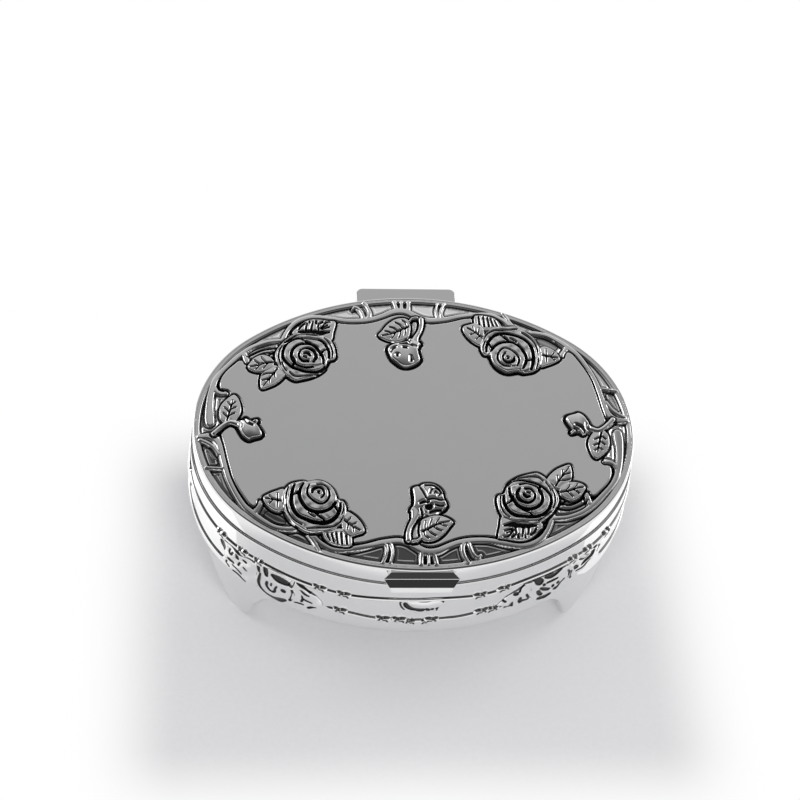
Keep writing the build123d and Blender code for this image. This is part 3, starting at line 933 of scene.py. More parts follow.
def lid_ornament_lines():
    """Every ornament outline and stem on the whole lid."""
    outlines, stems = [], []
    for leaves, head, twigs, flips in (
        (rose_right_leaves, rose_right_head, (), (1, -1)),
        (rose_left_leaves, rose_left_head, (), (1, -1)),
        ((spray_leaf,), open_flower, (spray_stem, spray_twig), (1,)),
        ((spray_leaf,), closed_bud, (spray_stem, spray_twig), (-1,)),
        ((side_leaf,), side_bud, (side_stem,), (1, -1)),
    ):
        for flip in flips:
            shapes = [leaf[0] for leaf in leaves] + [head]
            outlines += [smooth(shape, closed=True) * flip for shape in shapes]
            stems += [smooth(twig) * (flip, flip, 1) for twig in twigs]
    return outlines, stems

def engraved(grid, inner, top, lines, depth, reach, slope, edge):
    """Height of a raised shape whose lines are cut in, and marks that paint the cut lines dark as shade
    and dark reflection.
    """
    dark = np.zeros(grid.shape)
    for line in lines:
        gap = grid.away(smooth(line), reach)
        top = top - depth * (1 - rise(gap, *slope))
        # Painted shade and dark reflection along each cut line
        dark = np.maximum(dark, 1 - rise(gap, 0.0, 0.12))
    heights = relief_foot + (top - relief_foot) * rise(inner, *edge)
    return np.where(inner > -0.3, heights, -np.inf), dark

def leaf_heights(grid, leaf):
    """A leaf that rises to a soft crown, with its veins cut in."""
    outline, veins, lift = leaf
    inner = -grid.signed(smooth(outline, closed=True), 2.2)
    top = plate_z + 0.32 + lift + 0.1 * rise(inner, 0.2, 1.6)
    return engraved(grid, inner, top, veins, vein_cut, 0.6, (-0.12, 0.24), (-0.12, 0.22))

def head_heights(grid, outline, crown, grooves, depth, soft=0.2):
    """A raised head: its crown is a height for each point, cut by grooves."""
    inner = -grid.signed(smooth(outline, closed=True), 1.5)
    return engraved(grid, inner, crown, grooves, depth, 0.9, (-0.15, soft), (-0.14, soft + 0.08))

def stem_heights(grid, stem, level):
    """A rounded stem."""
    line = smooth(stem)
    gap = grid.away(line, 0.6)
    half = (line[:, 2].min() + line[:, 2].max()) / 4
    top = level - 0.25 * np.clip(1 + gap / half, 0, 1) ** 2
    heights = relief_foot + (top - relief_foot) * (1 - rise(gap, -0.2, 0.16))
    return np.where(gap < 0.3, heights, -np.inf), np.zeros(grid.shape)

def layered(grid, layers):
    """The highest layer at each point, with its marks."""
    heights = np.full(grid.shape, -np.inf)
    dark = np.zeros(grid.shape)
    for new, new_dark in layers:
        wins = new > heights
        heights = np.where(wins, new, heights)
        dark = np.where(wins, new_dark, dark)
    return heights, dark

def crevice_shade(heights, depth=0.16, reach=3):
    """Painted shade for points that lie lower than what is round them."""
    known = np.isfinite(heights)
    filled = np.where(known, heights, heights[known].min())
    return rise(spread(filled, reach) - filled, depth * 0.4, depth)

def rose_crown(grid, steps):
    """Petals in level steps that climb to the heart of a rose."""
    crown = np.full(grid.shape, plate_z + petal_levels[0])
    for line, low, high in zip(steps, petal_levels, petal_levels[1:]):
        crown += (high - low) * rise(-grid.signed(smooth(line, closed=True), 0.6), -0.1, 0.2)
    ripple = np.sin(grid.x * 2.3 + np.sin(grid.y * 1.1)) * np.sin(grid.y * 2.0 + grid.x * 0.6)
    return crown + petal_ripple * ripple

def bud_crown(grid, x, y, reach, level, lift):
    """Rounded height of a bud about its middle."""
    away = np.clip(np.hypot(grid.x - x, grid.y - y) / reach, 0, 1)
    return plate_z + level + lift * (1 - away**2)

def lid_relief(grid, layers, places):
    """A relief of the lid, as drawn or turned half round at each of its places."""
    heights, dark = layered(grid, layers)
    heights = np.minimum(heights, relief_top_z)
    # Painted shade in crevices and round the foot of the relief
    dark = np.maximum(dark, crevice_shade(heights))
    dark = np.maximum(dark, 1 - rise(heights, relief_foot + 0.05, relief_foot + 0.4))
    keep = heights > relief_foot - 0.01
    points, faces, marks = relief_solid(grid, heights, keep, relief_floor, dark)
    for node, turned in places:
        add_piece(node + "_relief", turned_points(points, turned), faces, "lid", (node,), None,
                  marks, relief)

def make_roses():
    """Two roses in front, and the same turned half round behind."""
    for low, high, leaves, head, steps, grooves, front, rear in (
        ((14.5, -28.6), (35.6, -8.4), rose_right_leaves, rose_right_head, rose_right_steps,
         rose_right_grooves, "lid_rose_front_right", "lid_rose_rear_left"),
        ((-32.8, -30.0), (-10.4, -12.8), rose_left_leaves, rose_left_head, rose_left_steps,
         rose_left_grooves, "lid_rose_front_left", "lid_rose_rear_right"),
    ):
        grid = Grid(low, high, relief_step)
        layers = [leaf_heights(grid, leaf) for leaf in leaves]
        layers.append(head_heights(grid, head, rose_crown(grid, steps), grooves, rose_cut))
        lid_relief(grid, layers, ((front, False), (rear, True)))

def make_sprays():
    """A spray in the middle of each long side, and a pair at the ends."""
    grid = Grid((-4.2, -29.6), (7.8, -13.4), relief_step)
    gap = grid.away(smooth(spray_gap), 0.5)
    # A sunk slit marked fully dark: painted shade
    hollow = (np.where(gap < 0.25, plate_z - 0.3, -np.inf), np.ones(grid.shape))
    green = [leaf_heights(grid, spray_leaf)]
    green += [stem_heights(grid, stem, plate_z + 0.55) for stem in (spray_stem, spray_twig)]
    crown = bud_crown(grid, 3.0, -17.2, 5.2, 0.5, 0.6)
    heights, dark = head_heights(grid, open_flower, crown, open_flower_grooves, 0.4, 0.4)
    pit = np.hypot((grid.x - 1.9) / 1.1, (grid.y + 20.1) / 0.95)
    heights = heights - 0.45 * (1 - rise(pit, 0.55, 1.1))
    # Painted shade in the pit of the open flower
    dark = np.maximum(dark, 1 - rise(pit, 0.7, 1.0))
    lid_relief(grid, green + [(heights, dark), hollow], (("lid_bud_front", False),))
    crown = bud_crown(grid, 1.6, -18.6, 4.6, 0.45, 0.65)
    bud = head_heights(grid, closed_bud, crown, closed_bud_grooves, 0.32, 0.5)
    lid_relief(grid, green + [bud, hollow], (("lid_bud_rear", True),))
    grid = Grid((-42.6, -4.6), (-30.6, 8.6), relief_step)
    crown = bud_crown(grid, -34.2, -1.0, 3.4, 0.45, 0.65)
    layers = [
        leaf_heights(grid, side_leaf), stem_heights(grid, side_stem, plate_z + 0.6),
        head_heights(grid, side_bud, crown, side_bud_grooves, 0.34, 0.5),
    ]
    lid_relief(grid, layers, (("lid_bud_left", False), ("lid_bud_right", True)))

def cover_relief(grid):
    """Heights of plate, border and vine, marks that paint shade and dark reflection into grooves, sunk
    panels and round the ornaments, and where they need the grid.
    """
    inset = oval_inset(grid.x, grid.y)
    slope = np.clip((inset - bead_width) / (slope_inset - bead_width), 0, 1)
    ground = rim_z + (plate_z - rim_z) * slope
    ground -= 0.12 * rise(inset, 1.5, 1.9)
    plate_line = smooth(plate_half + half_turned(plate_half), closed=True, steps=5)
    plate_gap = grid.signed(plate_line, 1.2)
    strand_gap = np.full(grid.shape, 1.2)
    bow = np.zeros(grid.shape)
    for strand in vine_strands + [half_turned(s) for s in vine_strands]:
        line = smooth(strand)
        gap = grid.away(line, 1.2)
        half = line[:, 2].mean() / 2
        bow = np.where(gap < strand_gap, np.clip(1 + gap / half, 0, 1), bow)
        strand_gap = np.minimum(strand_gap, gap)
    rim_gap = inset - 1.5
    strand_top = plate_z - 0.02 - 0.3 * (1 - rise(inset, 1.0, 5.0)) - 0.05 * bow**2
    heights = ground + (strand_top - ground) * (1 - rise(strand_gap, -0.24, 0.14))
    rim_top = ground + (rim_z + 0.48 - ground) * (1 - rise(rim_gap, -0.2, 0.16))
    heights = np.where(plate_gap < 0.05, plate_z, np.maximum(heights, rim_top))
    raised = np.minimum(np.minimum(strand_gap, rim_gap), plate_gap)
    frame_line = np.abs(raised - 0.72)
    heights += np.where(raised > 0.3, 0.09 * (1 - rise(frame_line, 0.05, 0.2)), 0)
    # Painted shade and dark reflection beside raised strands and rim, and in grooves
    dark = np.where(raised > 0, 1 - rise(np.abs(raised - 0.22), 0.1, 0.24), 0)
    groove = np.abs(plate_gap)
    heights -= 0.35 * (1 - rise(groove, 0.02, 0.28))
    dark = np.maximum(dark, 1 - rise(groove, 0.14, 0.26))
    for line in panel_grooves + [half_turned(g) for g in panel_grooves]:
        gap = grid.away(smooth(line), 0.8)
        heights -= 0.3 * (1 - rise(gap, -0.15, 0.25))
        dark = np.maximum(dark, 1 - rise(gap, 0.0, 0.15))
    for outline in (panel_left, panel_end, half_turned(panel_left), half_turned(panel_end)):
        gap = grid.signed(smooth(outline, closed=True), 0.9)
        heights = np.minimum(heights, np.where(gap < 0, plate_z - 0.55, np.inf))
        dark = np.maximum(dark, 1 - rise(np.abs(gap), 0.08, 0.2))
        # Sunk panels painted half dark: painted shade and dark reflection
        dark = np.maximum(dark, np.where(gap < 0, 0.55, 0))
    outlines, stems = lid_ornament_lines()
    gap = np.full(grid.shape, 1.2)
    under = np.zeros(grid.shape, bool)
    covered = np.zeros(grid.shape, bool)
    for outline in outlines:
        away = grid.away(outline, 1.2, closed=True)
        inside = grid.inside(outline)
        gap = np.minimum(gap, np.where(inside, 0, away))
        under |= inside
        covered |= inside & (away > 0.45)
    for stem in stems:
        away = grid.away(stem, 1.2)
        gap = np.minimum(gap, np.maximum(away, 0))
        under |= away < 0
    heights -= groove_depth * (1 - rise(gap, 0.0, outline_groove))
    heights = np.where(under, np.minimum(heights, relief_foot + 0.05), heights)
    # Painted shade round the ornaments and in crevices
    dark = np.maximum(dark, 1 - rise(gap, 0.38, 0.5))
    dark = np.maximum(dark, crevice_shade(heights, 0.2, 2) * (inset > 1.2))
    shown = (raised < 1.15) | (inset < slope_inset + 0.2) & (plate_gap > -0.5)
    beside = (gap < 0.86) & ~under
    fine = ((plate_gap > -0.5) | beside) & shown | beside | (groove < 0.62)
    return heights, dark, fine & ~covered & (inset > 0.55)

def make_cover():
    """Plate, border and vine of the lid as one pressed sheet, with its wall."""
    grid = Grid((-46.2, -34.8), (46.2, 34.8), cover_step)
    heights, dark, fine = cover_relief(grid)
    cells, used, points, faces, first, second = grid_surface(grid, heights, fine)
    faces = faces.tolist()
    turns = oval_walk(seam_count)[0]
    start = len(points)
    points = np.vstack([points, oval_rows([(-0.3, rim_z)], turns)])

    # Flat triangles join the drawn parts to each other and to the rim
    ring = list(range(start, start + seam_count))
    local = np.concatenate([np.unique(np.concatenate([first, second])), ring])
    place = {int(n): k for k, n in enumerate(local)}
    lines = [(place[int(p)], place[int(q)]) for p, q in zip(first, second)]
    lines += [(place[p], place[q]) for p, q in zip(ring, ring[1:] + ring[:1])]
    flat = [Vector((points[n, 0], points[n, 1])) for n in local]
    spots, _, triangles, sources = delaunay_2d_cdt(flat, lines, [], 0, 1e-7, True)[:4]
    for triangle in triangles:
        x = sum(spots[k].x for k in triangle) / 3
        y = sum(spots[k].y for k in triangle) / 3
        i = int((x - grid.x0) / cover_step)
        j = int((y - grid.y0) / cover_step)
        drawn = 0 <= i < cells.shape[0] and 0 <= j < cells.shape[1] and cells[i, j]
        if drawn or oval_inset(x, y) < 0.3:
            continue
        face = [int(local[sources[k][0]]) for k in triangle]
        p, q, r = points[face]
        if (q[0] - p[0]) * (r[1] - p[1]) - (q[1] - p[1]) * (r[0] - p[0]) < 0:
            face = face[::-1]
        faces.append(face)

    profile = [
        (-0.1, rim_z), (-0.02, rim_z - 0.06), (0.0, rim_z - 0.2),
        (0.0, lid_bottom_z + 0.1), (-0.03, lid_bottom_z - 0.05), (-0.12, lid_bottom_z - 0.14),
        (-0.88, lid_bottom_z - 0.14), (-lid_wall, lid_bottom_z), (-lid_wall, rim_z - 1.0),
        (-2.0, rim_z - 1.0), (-slope_inset, plate_z - 1.0),
    ]
    points = np.vstack([points, oval_rows(profile, turns)])
    rows = len(profile) + 1
    last = start + (rows - 1) * seam_count
    faces += [[start + f[n] for n in (1, 0, 3, 2)] for f in ring_faces(rows, seam_count)]
    faces.append(list(range(last, last + seam_count))[::-1])
    marks = np.append(dark[used], np.zeros(rows * seam_count))
    add_piece("lid_cover", points, faces, "lid", ("lid_shell", "lid_vine_border"), 65, marks,
              material=relief)

# Rings and body

def make_ring(name, profile, body, node):
    """Closed ring with its section all round the oval."""
    points = oval_rows(profile, oval_walk(ring_count)[0])
    add_piece(name, points, ring_faces(len(profile), ring_count, True), body, (node,), 50)

def make_bead():
    """Bead on the edge of the lid."""
    make_ring("rim_bead", [
        (0.0, rim_z), (0.0, rim_z + 0.03), (-0.01, rim_z + 0.06), (-0.21, rim_z + 0.42),
        (-0.26, rim_z + 0.47), (-0.34, bead_top_z), (-0.6, bead_top_z), (-0.78, rim_z + 0.44),
        (-0.95, rim_z + 0.25), (-bead_width, rim_z), (-bead_width * 0.7, rim_z - 0.3),
        (-bead_width * 0.25, rim_z - 0.3),
    ], "lid", "lid_rim_bead")

def make_lip():
    """Guide ring inside the seam, with a rounded top."""
    low, high = levels("seam_lip")
    outer = base_overhang - base_wall
    guide = -lid_wall - lip_clearance
    inner = guide - lip_thickness
    make_ring("guide_lip", [
        (inner, low), (outer, low), (outer, seam_z - 0.05), (outer - 0.05, seam_z),
        (guide, seam_z), (guide, high - 0.3), (guide - 0.1, high - 0.1), (guide - 0.3, high),
        (inner + 0.3, high), (inner + 0.1, high - 0.1), (inner, high - 0.3),
    ], "base", "seam_lip")

def make_body():
    """Body with its rounded lower edge and softened rim."""
    outer = base_overhang
    inner = base_overhang - base_wall
    radius = bottom_edge_radius - base_wall
    profile = arc(outer, bottom_edge_z, bottom_edge_radius, np.linspace(math.pi / 2, 0, 19))
    profile += [(outer, z) for z in (20.0, 24.0, 28.0, 31.0, seam_z - 0.3)]
    profile += [(outer, seam_z - 0.14), (outer - 0.04, seam_z - 0.04), (outer - 0.14, seam_z)]
    profile += [(inner + 0.14, seam_z), (inner + 0.04, seam_z - 0.04), (inner, seam_z - 0.14)]
    profile += [(inner, z) for z in (31.0, 26.0, 21.0)]
    profile += arc(inner, bottom_edge_z, radius, np.linspace(0, math.pi / 2, 13))
    points = oval_rows(profile, oval_walk(seam_count)[0])
    faces = stack_faces(len(profile), seam_count)
    add_piece("body_shell", points, faces, "base", ("base_shell",), 40)

# Reliefs of the wall

def carved(grid, outline, crown, lines, depth=0.12):
    """A relief inside an outline, with its strokes cut in and painted dark as shade and dark reflection.
    """
    inner = -grid.signed(smooth(outline, closed=True), 1.0)
    top = crown.copy()
    dark = np.zeros(grid.shape)
    nearest = np.clip(inner, 0, 1)
    for line in lines:
        gap = grid.away(smooth(line), 1.0)
        nearest = np.minimum(nearest, np.clip(gap, 0, 1))
        top -= depth * (1 - rise(gap, -0.2, 0.12)) + bowl_depth * (1 - rise(gap, -0.8, -0.1))
        deep = 0.96 + 0.04 * rise(gap, -0.4, -0.15)
        # Painted shade and dark reflection in each stroke
        dark = np.maximum(dark, (1 - rise(gap, 0.04, 0.17)) * deep)
    top -= pillow_height * (1 - np.sqrt(np.clip(nearest, 0, 1)))
    heights = wall_foot + (top - wall_foot) * rise(inner, -0.14, 0.3)
    return np.where(inner > -0.25, heights, -np.inf), dark

def wall_relief(grid, layers, shift, places):
    """Relief drawn on the unrolled wall, bent round the oval at each place it is used."""
    heights, dark = layered(grid, layers)
    heights = np.minimum(heights, wall_proud)
    keep = heights > wall_foot - 0.01
    # Painted shade in crevices and round the foot of the relief
    dark = np.maximum(dark, crevice_shade(np.where(keep, heights, -np.inf), 0.14))
    dark = np.maximum(dark, 0.9 * (1 - rise(heights, 0.0, 0.16)))
    points, faces, marks = relief_solid(grid, heights, keep, wall_floor, dark)
    z = points[:, 1] + shift
    for node, middle, turned in places:
        x, y = wall_point(points[:, 0] + middle, base_overhang + points[:, 2] - recede(z))
        placed = turned_points(np.column_stack([x, y, z]), turned)
        add_piece(node + "_relief", placed, faces, "base", (node,), None, marks,
                  relief)

def make_wall_roses():
    """Two clusters in front, and the same turned half round behind."""
    for low, high, x, y, shift, rose, leaves, front, rear in (
        ((-45.2, 14.6), (-18.6, 27.6), -30.4, 21.2, 0.9, (wall_rose, wall_rose_strokes),
         ((wall_leaf_right, wall_leaf_right_strokes), (wall_leaf_left, wall_leaf_left_strokes)),
         "wall_rose_front_left", "wall_rose_rear_right"),
        ((16.0, 18.0), (44.0, 29.4), 29.0, 23.4, -0.2, (far_rose, far_rose_strokes),
         ((far_leaf_near, far_leaf_near_strokes), (far_leaf_end, far_leaf_end_strokes)),
         "wall_rose_front_right", "wall_rose_rear_left"),
    ):
        grid = Grid(low, high, wall_step)
        away = np.clip(np.hypot(grid.x - x, grid.y - y) / 6.2, 0, 1)
        leaf = 0.42 + 0.16 * np.sin(grid.x * 1.35 + 0.6) * np.sin(grid.y * 1.2)
        layers = [carved(grid, outline, leaf, lines) for outline, lines in leaves]
        layers.append(carved(grid, rose[0], 0.45 + 0.35 * (1 - away**2), rose[1]))
        wall_relief(grid, layers, shift, ((front, 0, False), (rear, 0, True)))

def make_wall_buds():
    """The same bud in the middle of each long side and at both ends."""
    grid = Grid((-4.6, 22.2), (6.2, 28.9), 0.08)
    away = np.clip(np.hypot((grid.x - 1.6) / 4.2, (grid.y - 25.9) / 2.9), 0, 1)
    layers = [carved(grid, wall_bud, 0.3 + 0.3 * (1 - away**2), wall_bud_strokes, 0.08)]
    wall_relief(grid, layers, 0.5, (
        ("wall_bud_front", 0, False), ("wall_bud_rear", 0, True),
        ("wall_bud_right", quarter_run, False), ("wall_bud_left", quarter_run, True),
    ))

def make_ribs():
    """Two ribs round the wall, each with small scrolled knots where the vine on it turns."""
    grid = Grid((-1.5, -1.3), (1.5, 1.3), 0.075)
    crown = 0.75 - 0.2 * (grid.x**2 + grid.y**2)
    heights, dark = carved(grid, knot_outline, crown, knot_strokes)
    # Painted shade round the foot of each knot
    dark = np.maximum(dark, 1 - rise(heights, 0.0, 0.1))
    keep = heights > wall_foot - 0.01
    knot, knot_faces, knot_marks = relief_solid(grid, heights, keep, wall_floor, dark)
    count = 1500
    turns, run = oval_walk(count)
    away = np.abs(run)
    behind_clusters = rise(away, 17.8, 19.4) * (1 - rise(away, 42.4, 44.0))
    for node, level, wave, knots, shown in (
        ("upper_border_rib", upper_rib_z, upper_wave, upper_knots, np.ones(count)),
        ("lower_border_rib", lower_rib_z, lower_wave, lower_knots, 1 - behind_clusters),
    ):
        wave = smooth(wave)
        middle = level + np.interp(run, wave[:, 0], wave[:, 1])
        profile = []
        for t in np.linspace(-math.pi / 2, math.pi / 2, 9):
            proud = (0.04 + rib_proud * math.cos(t) ** 0.7) * shown - 0.1 * (1 - shown)
            profile.append((base_overhang + proud, middle + rib_width / 2 * math.sin(t)))
        profile += [(base_overhang - 0.4, middle + way * 0.4 * rib_width) for way in (1, -1)]
        points = oval_rows(profile, turns)
        faces = ring_faces(len(profile), count, closed_rows=True)
        marks = np.zeros(len(points))
        for turned in (False, True):
            for place, shift, size in knots:
                way = 1 if place > 0 else -1
                z = level + np.interp(place, wave[:, 0], wave[:, 1]) + shift + knot[:, 1] * size
                offset = base_overhang + knot[:, 2] - recede(z)
                x, y = wall_point(place + knot[:, 0] * size * way, offset)
                start = len(points)
                points = np.vstack([points, turned_points(np.column_stack([x, y, z]), turned)])
                marks = np.append(marks, knot_marks)
                faces += [[n + start for n in f[::way]] for f in knot_faces]
        add_piece(node + "_band", points, faces, "base", (node,), 60, marks, material=relief)

# Feet

def make_feet():
    """Four feet whose hollow sides run up into the rounded edge of the body."""
    inner_edge = np.array(foot_inner_edge)
    outer_edge = np.array(foot_outer_edge)
    rows = []
    for z in foot_levels:
        tuck = 0.2 * (1 - rise(z, 0.0, 0.4))
        first = np.interp(z, inner_edge[:, 1], inner_edge[:, 0]) + tuck
        last = np.interp(z, outer_edge[:, 1], outer_edge[:, 0]) - tuck
        face = base_overhang - foot_lean * (1 - z / bottom_edge_z) - tuck
        back = face - foot_thickness + 2 * tuck
        if z > underside_z:
            back = max(back, base_overhang - float(recede(z)) - 0.6 * base_wall)
        curve = min(0.7, (last - first) / 3, 0.6 * (face - back))
        notch = min(0.3, 0.3 * (face - back))
        corner = [(curve * (1 - math.cos(t)), face - curve * (1 - math.sin(t)))
                  for t in np.linspace(0, math.pi / 2, 5)]
        section = [(first + notch, back), (first, back + notch)]
        section += [(first + s, offset) for s, offset in corner]
        section += [(s, face) for s in np.linspace(first, last, 10)[2:-2]]
        section += [(last - s, offset) for s, offset in corner[::-1]]
        section += [(last, back + notch), (last - notch, back)]
        rows += [(s, z, offset) for s, offset in section]
    points = np.array(rows)
    faces = stack_faces(len(foot_levels), len(section))
    for node, way, turned in (
        ("foot_front_right", 1, False), ("foot_front_left", -1, False),
        ("foot_rear_left", 1, True), ("foot_rear_right", -1, True),
    ):
        x, y = wall_point(points[:, 0] * way, points[:, 2])
        placed = turned_points(np.column_stack([x, y, points[:, 1]]), turned)
        add_piece(node + "_shaped", placed, [f[::way] for f in faces], "base", (node,), 50)

# Catch and hinge

def finish_edges(work, name, body, node, width):
    """Piece with its hard edges rounded off and its broad faces flat."""
    bmesh.ops.remove_doubles(work, verts=work.verts, dist=1e-6)
    bmesh.ops.recalc_face_normals(work, faces=work.faces)
    bmesh.ops.dissolve_limit(work, angle_limit=math.radians(1), verts=work.verts, edges=work.edges)
    hard = [e for e in work.edges
            if len(e.link_faces) == 2 and e.calc_face_angle() > math.radians(14)]
    bmesh.ops.bevel(work, geom=hard, offset=width * 0.001, segments=3, profile=0.5,
                    affect="EDGES", clamp_overlap=True)
    mesh = bpy.data.meshes.new(name)
    work.to_mesh(mesh)
    work.free()
    mesh.polygons.foreach_set("use_smooth", [f.area < flat_face_area for f in mesh.polygons])
    place_piece(name, mesh, body, polished, (node,))

def make_catch():
    """Six-sided wedge with a fine step along its crease."""
    front = -lid_half_width
    rows = [
        (0.5, rim_z, 6.3), (-0.15, rim_z, 6.3), (-0.97, rim_z - 1.2, 7.7),
        (-0.99, rim_z - 1.26, 7.66), (-2.1, rim_z - 2.8, 6.5), (-2.12, rim_z - 2.86, 6.45),
        (-2.2, lid_bottom_z + 0.4, 6.1), (-1.8, lid_bottom_z, 6.0), (0.5, lid_bottom_z, 6.0),
    ]
    work = bmesh.new()
    sides = []
    for way in (-1, 1):
        sides.append([
            work.verts.new((way * half * 0.001, (front + y) * 0.001 + middle_y, z * 0.001))
            for y, z, half in rows
        ])
    left, right = sides
    for k in range(len(rows)):
        m = (k + 1) % len(rows)
        work.faces.new((left[k], left[m], right[m], right[k]))
    for side in sides:
        hub = work.verts.new((side[0].co.x, side[0].co.y, (rim_z + lid_bottom_z) * 0.0005))
        for k in range(len(rows)):
            work.faces.new((hub, side[k], side[(k + 1) % len(rows)]))
    finish_edges(work, "catch_wedge", "lid", "thumb_catch", 0.07)

def soften(node, name, body):
    """Copy of a plain piece with its hard edges rounded off."""
    source = frame["nodes"][node]
    work = bmesh.new()
    work.from_mesh(source.data)
    work.transform(source.matrix_world)
    finish_edges(work, name, body, node, 0.1)

# Velvet

def make_lining():
    """Velvet liner with a rolled top edge, and two crowned pads."""
    count = 360
    turns, run = oval_walk(count)
    low, high = levels("wall_lining")
    outer = base_overhang - base_wall - lining_clearance
    inner = outer - lining_thickness
    outer_radius = bottom_edge_radius - base_wall - lining_clearance
    inner_radius = outer_radius - lining_thickness
    half = lining_thickness / 2
    middle = (outer + inner) / 2
    profile = arc(outer, low + outer_radius, outer_radius, np.linspace(math.pi / 2, 0, 9))
    profile += [(outer, z) for z in np.linspace(20, high - 0.5, 6)]
    profile += [(middle + half * math.cos(t), high - half + half * math.sin(t))
                for t in np.linspace(0.2, math.pi - 0.2, 7)]
    flat_rows = len(profile) - 1
    profile += [(inner, z) for z in np.linspace(high - 0.5, 20, 6)]
    floor_z = low + lining_thickness
    profile += arc(inner, floor_z + inner_radius, inner_radius, np.linspace(0, math.pi / 2, 9))
    waved = [(offset - 0.05 * np.sin(run * 1.9 + z) * np.sin(z * 0.9), z)
             for offset, z in profile[flat_rows:]]
    points = oval_rows(profile[:flat_rows] + waved, turns)
    faces = stack_faces(len(profile), count)
    add_piece("velvet_liner", points, faces, "base", ("wall_lining",), 60, None, velvet)
    for node, body, way in (("floor_pad", "base", 1), ("lid_pad", "lid", -1)):
        pad_low, pad_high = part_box(node)
        inset = (pad_high.y - pad_low.y) * 500 - lid_half_width
        low, high = levels(node)
        thick = high - low
        foot = low if way > 0 else high
        profile = [(-8.0, 0.0), (-1.0, 0.0), (-0.3, 0.1), (0.0, 0.4), (0.0, thick * 0.5),
                   (-0.25, thick * 0.72), (-0.9, thick * 0.87), (-2.0, thick * 0.95),
                   (-4.0, thick * 0.99), (-8.0, thick), (-14.0, thick), (-20.0, thick)]
        points = oval_rows([(inset + offset, foot + way * z) for offset, z in profile], turns)
        faces = [f[::way] for f in stack_faces(len(profile), count)]
        pad = add_piece(node + "_cushion", points, faces, body, (node,), 60, None,
                        velvet)

make_cover()
make_bead()
make_roses()
make_sprays()
make_body()
make_lip()
make_ribs()
make_wall_roses()
make_wall_buds()
make_feet()
make_lining()
make_catch()
soften("hinge_base_bracket", "hinge_bracket", "base")
soften("hinge_lid_leaf", "hinge_leaf", "lid")

# Carried-over pieces keep their shape and get the finish of their slot
slot_materials = {
    "polished_silver": polished, "relief_silver": polished, "pin": steel, "lining": velvet,
}
for part in frame["record"]["subparts"]:
    materials = frame["nodes"][part["node"]].data.materials
    materials.clear()
    materials.append(slot_materials[part["material_slot"]])

# Floor: a pale grey card on white paper, its corners anticlockwise from the front left
card_corners = [(-60.0, -64.0), (64.0, -64.0), (58.0, 22.0), (-58.0, 22.0)]
card_softness = 12.0
floor_reach = 1.6
floor_mesh = bpy.data.meshes.new("floor")
floor_mesh.from_pydata(
    [(x * floor_reach, y * floor_reach, 0) for x, y in ((-1, -1), (1, -1), (1, 1), (-1, 1))],
    [], [(0, 1, 2, 3)],
)
floor = bpy.data.objects.new("floor", floor_mesh)
bpy.context.scene.collection.objects.link(floor)
paper, tree, shader, place = new_material("floor_paper")
grain = noise(tree, place, 900.0, 2.0)
card_tone = mixed(tree, grain, (0.745, 0.745, 0.76), (0.79, 0.79, 0.805))
card_share = 1.0
for a, b in zip(card_corners, card_corners[1:] + card_corners[:1]):
    length = math.hypot(b[0] - a[0], b[1] - a[1])
    side = (-(b[1] - a[1]) / length, (b[0] - a[0]) / length)
    inputs = {0: place, 1: (side[0] * 1000, side[1] * 1000, 0)}
    across = add(tree, "VectorMath", inputs, "Value", operation="DOT_PRODUCT")
    level = a[0] * side[0] + (a[1] + middle_y * 1000) * side[1]
    edge = band(tree, across, level - card_softness, level + card_softness)
    card_share = calc(tree, "MULTIPLY", card_share, edge)
tone = mixed(tree, card_share, (0.95, 0.95, 0.95), card_tone)
feed(tree, shader, {"Base Color": tone, "Roughness": 0.9})
path = tree.nodes.new("ShaderNodeLightPath").outputs
seen = calc(tree, "ADD", path["Is Camera Ray"], path["Is Glossy Ray"])
seen = calc(tree, "ADD", seen, path["Is Transmission Ray"], use_clamp=True)
outside = calc(tree, "MULTIPLY_ADD", card_share, -1.0, 1.0)
share = calc(tree, "MULTIPLY", outside, seen)
white = add(tree, "Emission", {"Strength": 1.0})
surface = add(tree, "MixShader", {0: share, 1: shader.outputs[0], 2: white})
feed(tree, tree.nodes["Material Output"], {"Surface": surface})
floor_mesh.materials.append(paper)

# Surroundings: light low behind the box, grey higher up and dark overhead
world = bpy.data.worlds.new("studio")
bpy.context.scene.world = world
world.use_nodes = True
sky = world.node_tree
sky.nodes.clear()
split = sky.nodes.new("ShaderNodeSeparateXYZ")
feed(sky, split, {0: add(sky, "TexCoord", {}, "Generated")})
sideways, away_back, upwards = split.outputs

def ramp(stops):
    """Grey that changes with the height of a direction."""
    node = sky.nodes.new("ShaderNodeValToRGB")
    node.color_ramp.interpolation = "B_SPLINE"
    marks = node.color_ramp.elements
    while len(marks) > 1:
        marks.remove(marks[0])
    for k, (position, value) in enumerate(stops):
        mark = marks.new(position) if k else marks[0]
        mark.position = position
        mark.color = (value, value, value, 1)
    feed(sky, node, {"Fac": upwards})
    return node.outputs["Color"]

far_side = ramp([(0.0, 0.95), (0.28, 0.9), (0.45, 0.62), (0.62, 0.56), (0.76, 0.44), (0.82, 0.41),
                 (0.87, 0.38), (0.93, 0.14), (1.0, 0.05)])
near_side = ramp([(0.0, 0.9), (0.06, 0.8), (0.12, 0.2), (0.17, 0.03), (0.32, 0.03), (0.5, 0.16),
                  (0.68, 0.16), (0.82, 0.05), (1.0, 0.05)])
room = mixed(sky, band(sky, away_back, -0.35, 0.35), near_side, far_side)
left_wing = band(sky, sideways, -0.34, -0.14, 0.2, 1.0)
right_wing = band(sky, sideways, 0.15, 0.36, 1.0, 0.55)
wings = calc(sky, "MULTIPLY", left_wing, right_wing)
fade = mixed(sky, band(sky, upwards, 0.5, 0.66), (1, 1, 1), wings)
shaded = mixed(sky, 1.0, room, fade, blend_type="MULTIPLY")
background = add(sky, "Background", {"Color": shaded, "Strength": 1.0})
feed(sky, sky.nodes.new("ShaderNodeOutputWorld"), {"Surface": background})

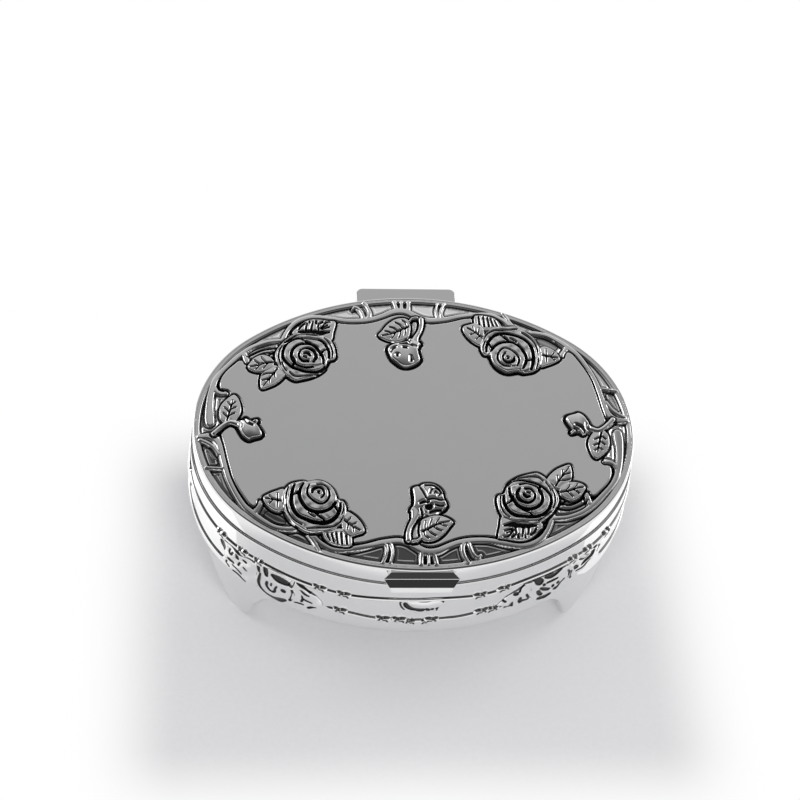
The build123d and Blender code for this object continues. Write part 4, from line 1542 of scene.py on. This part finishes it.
def softbox(name, place, target, width, height, power, in_gloss):
    lamp = bpy.data.lights.new(name, "AREA")
    lamp.shape = "RECTANGLE"
    lamp.size = width
    lamp.size_y = height
    lamp.energy = power
    holder = bpy.data.objects.new(name, lamp)
    holder.location = place
    aim = Vector(target) - Vector(place)
    holder.rotation_euler = aim.to_track_quat("-Z", "Y").to_euler()
    holder.visible_glossy = in_gloss
    bpy.context.scene.collection.objects.link(holder)
    return holder


softbox("overhead", (0.0, -0.15, 1.3), (0, 0, 0), 1.8, 1.8, 7.0, False)
softbox("front_fill", (0.0, -1.0, 0.75), (0, 0, 0), 1.8, 0.9, 13.0, False)
softbox("back_left", (-0.9, 0.55, 0.55), (0, 0, 0.02), 0.6, 0.5, 2.2, True)
softbox("back_right", (0.9, 0.55, 0.55), (0, 0, 0.02), 0.6, 0.5, 2.2, True)

# White cards that lie beside the box and show in its ends
for side_name, way in (("card_left", -1), ("card_right", 1)):
    side_card = softbox(
        side_name, (way * 0.082, 0.0125, 0.0004), (way * 0.082, 0.0125, 1), 0.07, 0.075, 0.0045, True
    )
    side_card.visible_camera = False
    side_card.visible_diffuse = False

# Camera, looking down on the front of the box
image_size = 800
focal_pixels = 2734.8
sensor = 36.0
aim_below_centre = 130.9
aim_right_of_centre = 1.1
eye = Vector((-0.05039, -0.32288, 0.50320))
level_right = Vector((0.98804, -0.15419, 0.0))
level_up = Vector((0.12931, 0.82864, 0.54464))
roll = math.radians(-7.57)
right = level_right * math.cos(roll) - level_up * math.sin(roll)
up = level_right * math.sin(roll) + level_up * math.cos(roll)
forward = -eye.normalized()
forward += up * (aim_below_centre / focal_pixels)
forward -= right * (aim_right_of_centre / focal_pixels)
forward.normalize()
up = (up - forward * up.dot(forward)).normalized()
right = forward.cross(up)
lens = bpy.data.cameras.new("camera")
lens.sensor_width = sensor
lens.lens = focal_pixels * sensor / image_size
lens.clip_start = 0.01
camera = bpy.data.objects.new("camera", lens)
turn = Matrix((right, up, -forward)).transposed()
camera.matrix_world = Matrix.Translation(eye + Vector((0, middle_y, 0))) @ turn.to_4x4()
bpy.context.scene.collection.objects.link(camera)
bpy.context.scene.camera = camera
bpy.context.scene.view_settings.view_transform = "Standard"
